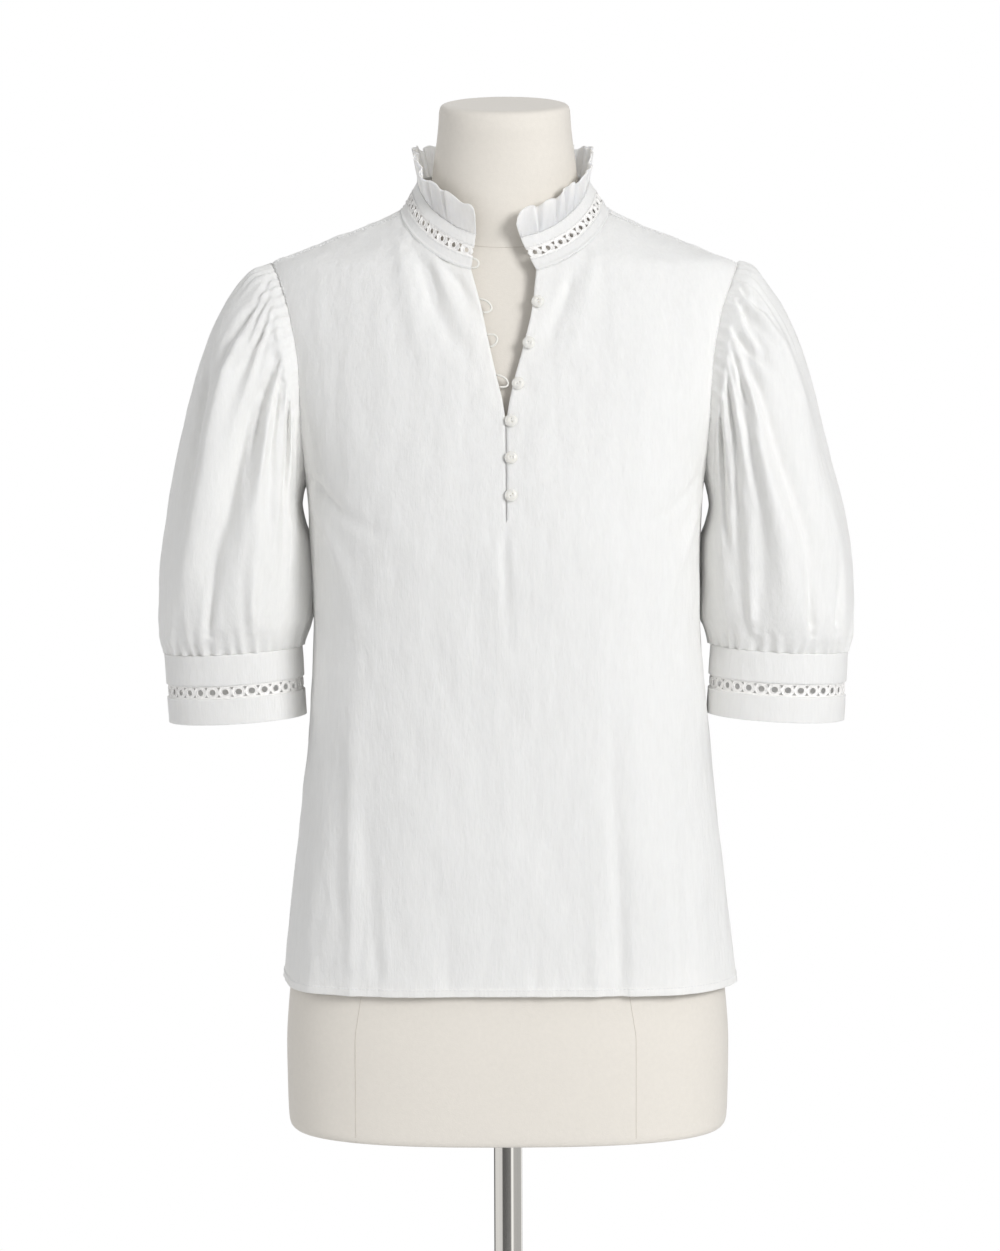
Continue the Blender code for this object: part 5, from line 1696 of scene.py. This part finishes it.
def make_form():
    """The form's cover in one closed skin, with fine raised seams on it."""
    body = form_body()
    trunk = np.linspace(0.665, 1.24, 96)
    shoulder = np.linspace(1.243, 1.36, 60)
    neck = np.linspace(1.363, 1.424, 26)
    heights = np.concatenate((FORM_LIP, trunk, shoulder, neck, FORM_RIM))
    angle = np.linspace(0, 360, FORM_AROUND, endpoint=False)[None, :]
    points = torso_point(body, angle, heights[:, None])
    points[..., 2] -= CAP_LOWER * part((heights - CAP_FROM) / CAP_OVER)[:, None]
    tilt = NECK_TILT * part((heights - NECK_TILT_START) / (NECK_TOP - NECK_TILT_START))
    points[..., 2] += (points[..., 1] - NECK_MIDDLE) * np.tan(np.radians(tilt))[:, None]
    rows = [points]
    middle = points[-1].mean(axis=0)
    for share in (0.9, 0.6, 0.3, 0.02):
        rows.append((middle + (points[-1] - middle) * share)[None])
    middle = points[0].mean(axis=0)
    below = [(middle + (points[0] - middle) * share)[None] for share in (0.02, 0.4, 0.8)]
    points = np.concatenate(below + rows)
    faces = grid_faces(*points.shape[:2], closed=True) + end_faces(*points.shape[:2])
    add_piece("dress_form", mesh_of("dress_form", points, faces), IVORY, ("dress_form",))
    lines = []
    z = np.linspace(FORM_BOTTOM + 0.002, SEAM_TOP, 120)
    for side in (-1, 1):
        for back in (False, True):
            x = side * princess_x(z) - (-SEAMS_ASIDE if back else SEAMS_ASIDE)
            middle = points_of(x, 0, z)
            lines.append(from_inside(body, middle, points_of(x, 0.1 if back else -0.1, z)))
        lines.append(torso_point(body, side * 90.0, z))
    turns = np.linspace(0, 2 * pi, 121)
    lines.append(foot_line(body, turns))
    threads = [tube_mesh(line, FORM_SEAM, sides=6) for line in lines]
    add_piece("form_seams", joined("form_seams", threads), IVORY_SEAM)


def turned(name, profile, segments, look):
    """A solid of revolution about Z, from a profile of radius and height, bottom to top."""
    turn = np.linspace(0, 2 * pi, segments, endpoint=False)
    points = np.stack([points_of(r * np.cos(turn), r * np.sin(turn), z) for r, z in profile])
    faces = grid_faces(*points.shape[:2], closed=True) + end_faces(*points.shape[:2])
    made = add_piece(name, mesh_of(name, points, faces), look, (name,))
    made.data.set_sharp_from_angle(angle=radians(35))


POLE_IN_SOCKET = 0.030


def arc(x, z, radius, start, stop, steps=6):
    """Points of a quarter round, from one turn in degrees to another."""
    turns = [radians(start + (stop - start) * k / steps) for k in range(steps + 1)]
    return [(x + radius * cos(turn), z + radius * sin(turn)) for turn in turns]


def make_stand():
    """The pole, and the round base with a short socket."""
    floor = BASE_HEIGHT + SOCKET_HEIGHT - POLE_IN_SOCKET
    top = FORM_BOTTOM - SEAM_GAP
    turned("pole", [(POLE_RADIUS, z) for z in (floor, 0.30, top)], 128, STEEL)
    rim = BASE_RADIUS - BASE_EDGE
    crown = BASE_HEIGHT - 0.004
    profile = [(rim, 0.0005), *arc(rim + 0.0015, 0.0025, 0.0025, -90, 0)]
    profile += arc(rim, crown - BASE_EDGE, BASE_EDGE, 0, 90)
    profile += [(0.12, crown + 0.0015), (0.06, crown + 0.003), (SOCKET_RADIUS + 0.006, BASE_HEIGHT)]
    profile += [(SOCKET_RADIUS + 0.002, BASE_HEIGHT + 0.0012), (SOCKET_RADIUS, BASE_HEIGHT + 0.004)]
    profile += arc(SOCKET_RADIUS - 0.002, BASE_HEIGHT + SOCKET_HEIGHT - 0.002, 0.002, 0, 90)
    profile += [(POLE_RADIUS + SEAM_GAP, BASE_HEIGHT + SOCKET_HEIGHT), (POLE_RADIUS + SEAM_GAP, floor)]
    turned("base", profile, 160, PAINT)


# Scene
AMBIENT_LEAN = (0.10, -0.38, 0.42)
AMBIENT_LOW = 0.35
AMBIENT_HIGH = 0.65
# Strength seen in the pole's gloss, by how far to the right a direction points
STUDIO_BANDS = (
    (0.0, 0.72),
    (0.125, 0.66),
    (0.155, 0.12),
    (0.30, 0.12),
    (0.60, 0.19),
    (0.675, 0.22),
    (0.735, 1.0),
    (0.805, 1.0),
    (0.865, 0.46),
    (1.0, 0.44),
)


def make_world():
    """White behind the object, even light leaning to the right, and bands for gloss."""
    world = bpy.data.worlds.new("studio")
    bpy.context.scene.world = world
    world.use_nodes = True
    tree = world.node_tree
    tree.nodes.clear()
    out = tree.nodes.new("ShaderNodeOutputWorld")
    path = tree.nodes.new("ShaderNodeLightPath")
    where = tree.nodes.new("ShaderNodeTexCoord")
    lean = tree.nodes.new("ShaderNodeVectorMath")
    lean.operation = "DOT_PRODUCT"
    lean.inputs[1].default_value = AMBIENT_LEAN
    tree.links.new(where.outputs["Generated"], lean.inputs[0])
    spread = tree.nodes.new("ShaderNodeMapRange")
    spread.inputs["From Min"].default_value = -0.6
    spread.inputs["From Max"].default_value = 0.6
    spread.inputs["To Min"].default_value = AMBIENT_LOW
    spread.inputs["To Max"].default_value = AMBIENT_HIGH
    tree.links.new(lean.outputs["Value"], spread.inputs["Value"])
    even = tree.nodes.new("ShaderNodeBackground")
    tree.links.new(spread.outputs["Result"], even.inputs["Strength"])

    apart = tree.nodes.new("ShaderNodeSeparateXYZ")
    tree.links.new(where.outputs["Generated"], apart.inputs[0])
    across = tree.nodes.new("ShaderNodeMapRange")
    across.inputs["From Min"].default_value = -1.0
    tree.links.new(apart.outputs["X"], across.inputs["Value"])
    bands = tree.nodes.new("ShaderNodeValToRGB")
    stops = bands.color_ramp.elements
    while len(stops) < len(STUDIO_BANDS):
        stops.new(0.5)
    for stop, (place, strength) in zip(stops, STUDIO_BANDS):
        stop.position = place
        stop.color = (strength, strength, strength, 1)
    tree.links.new(across.outputs["Result"], bands.inputs["Fac"])
    gloss = tree.nodes.new("ShaderNodeBackground")
    tree.links.new(bands.outputs["Color"], gloss.inputs["Color"])
    gloss.inputs["Strength"].default_value = 1.25

    white = tree.nodes.new("ShaderNodeBackground")
    white.inputs["Color"].default_value = (1, 1, 1, 1)
    shown = even.outputs["Background"]
    for ray, other in (("Is Glossy Ray", gloss), ("Is Camera Ray", white)):
        mix = tree.nodes.new("ShaderNodeMixShader")
        tree.links.new(path.outputs[ray], mix.inputs["Fac"])
        tree.links.new(shown, mix.inputs[1])
        tree.links.new(other.outputs["Background"], mix.inputs[2])
        shown = mix.outputs["Shader"]
    tree.links.new(shown, out.inputs["Surface"])


Light = namedtuple("Light", "name place aim_high size power")
LIGHTS = (
    Light("key", (1.85, -2.55, 2.25), 1.10, 1.2, 71),
    Light("fill", (-2.70, -0.30, 1.60), 1.05, 1.8, 15),
    Light("back_fill", (-0.60, 2.90, 1.90), 1.05, 1.8, 20),
    Light("front_fill", (-0.50, -3.40, 1.60), 1.05, 1.6, 7.5),
)


def make_lights():
    """Round area lights, each aimed at the object's axis at a height."""
    for row in LIGHTS:
        light = bpy.data.lights.new(row.name, "AREA")
        light.shape = "DISK"
        light.size = row.size
        light.energy = row.power
        made = bpy.data.objects.new(row.name, light)
        bpy.context.scene.collection.objects.link(made)
        made.location = row.place
        way = Vector((0, 0, row.aim_high)) - Vector(row.place)
        made.rotation_euler = way.to_track_quat("-Z", "Y").to_euler()


FLOOR_RADIUS = 1.7
FLOOR_DROP = 0.0005


def make_stage():
    """A round pale floor for views that look down at the base."""
    mesh = bpy.data.meshes.new("floor")
    shape = bmesh.new()
    bmesh.ops.create_circle(shape, cap_ends=True, segments=96, radius=FLOOR_RADIUS)
    shape.to_mesh(mesh)
    shape.free()
    floor = bpy.data.objects.new("floor", mesh)
    bpy.context.scene.collection.objects.link(floor)
    floor.location = (0, 0, -FLOOR_DROP)
    floor.data.materials.append(material("pale_floor", (0.86, 0.86, 0.86), 0.6)[0])


CAMERA_PLACE = (-0.0039, -3.0, 1.325)
CAMERA_PITCH = 5.643
CAMERA_ROLL = 0.2
CAMERA_FOCUS_PX = 3846.0
PHOTO_WIDTH_PX = 1000
SENSOR_MM = 36.0


def make_camera():
    camera = bpy.data.cameras.new("camera")
    camera.sensor_fit = "HORIZONTAL"
    camera.sensor_width = SENSOR_MM
    camera.lens = SENSOR_MM * CAMERA_FOCUS_PX / PHOTO_WIDTH_PX
    camera.clip_end = 50
    made = bpy.data.objects.new("camera", camera)
    bpy.context.scene.collection.objects.link(made)
    made.location = CAMERA_PLACE
    made.rotation_euler = (radians(90 - CAMERA_PITCH), radians(CAMERA_ROLL), 0)
    bpy.context.scene.camera = made


make_camera()
make_world()
make_stage()
make_lights()
bpy.context.scene.view_settings.view_transform = "Standard"

make_form()
make_stand()
front, front_sewn = make_panel("front", False)
back, back_sewn = make_panel("back", True)
LEFT_CREASES = LEFT_SLEEVE_CREASES + LEFT_FAN + at_back(RIGHT_FAN)
RIGHT_CREASES = RIGHT_SLEEVE_CREASES + RIGHT_FAN + at_back(LEFT_FAN)
sleeve_left = make_sleeve("sleeve_left", 1, LEFT_CREASES, seed=21)
sleeve_right = make_sleeve("sleeve_right", -1, RIGHT_CREASES, seed=33)
cuff_left = make_cuff(1, "left")
cuff_right = make_cuff(-1, "right")
collar = make_collar()
ruffle = make_ruffle()
for number, button in enumerate(BUTTONS, start=1):
    make_button(f"button_{number}", button, number)
for number, loop in enumerate(LOOPS, start=1):
    make_slit_loop(f"loop_{number}", loop)
fastened = [button for button in BUTTONS if button.fastened]
for number, button in enumerate(fastened, start=len(LOOPS) + 1):
    make_fastened_loop(f"loop_{number}", button)
make_collar_loop("loop_collar", COLLAR_LOOP)
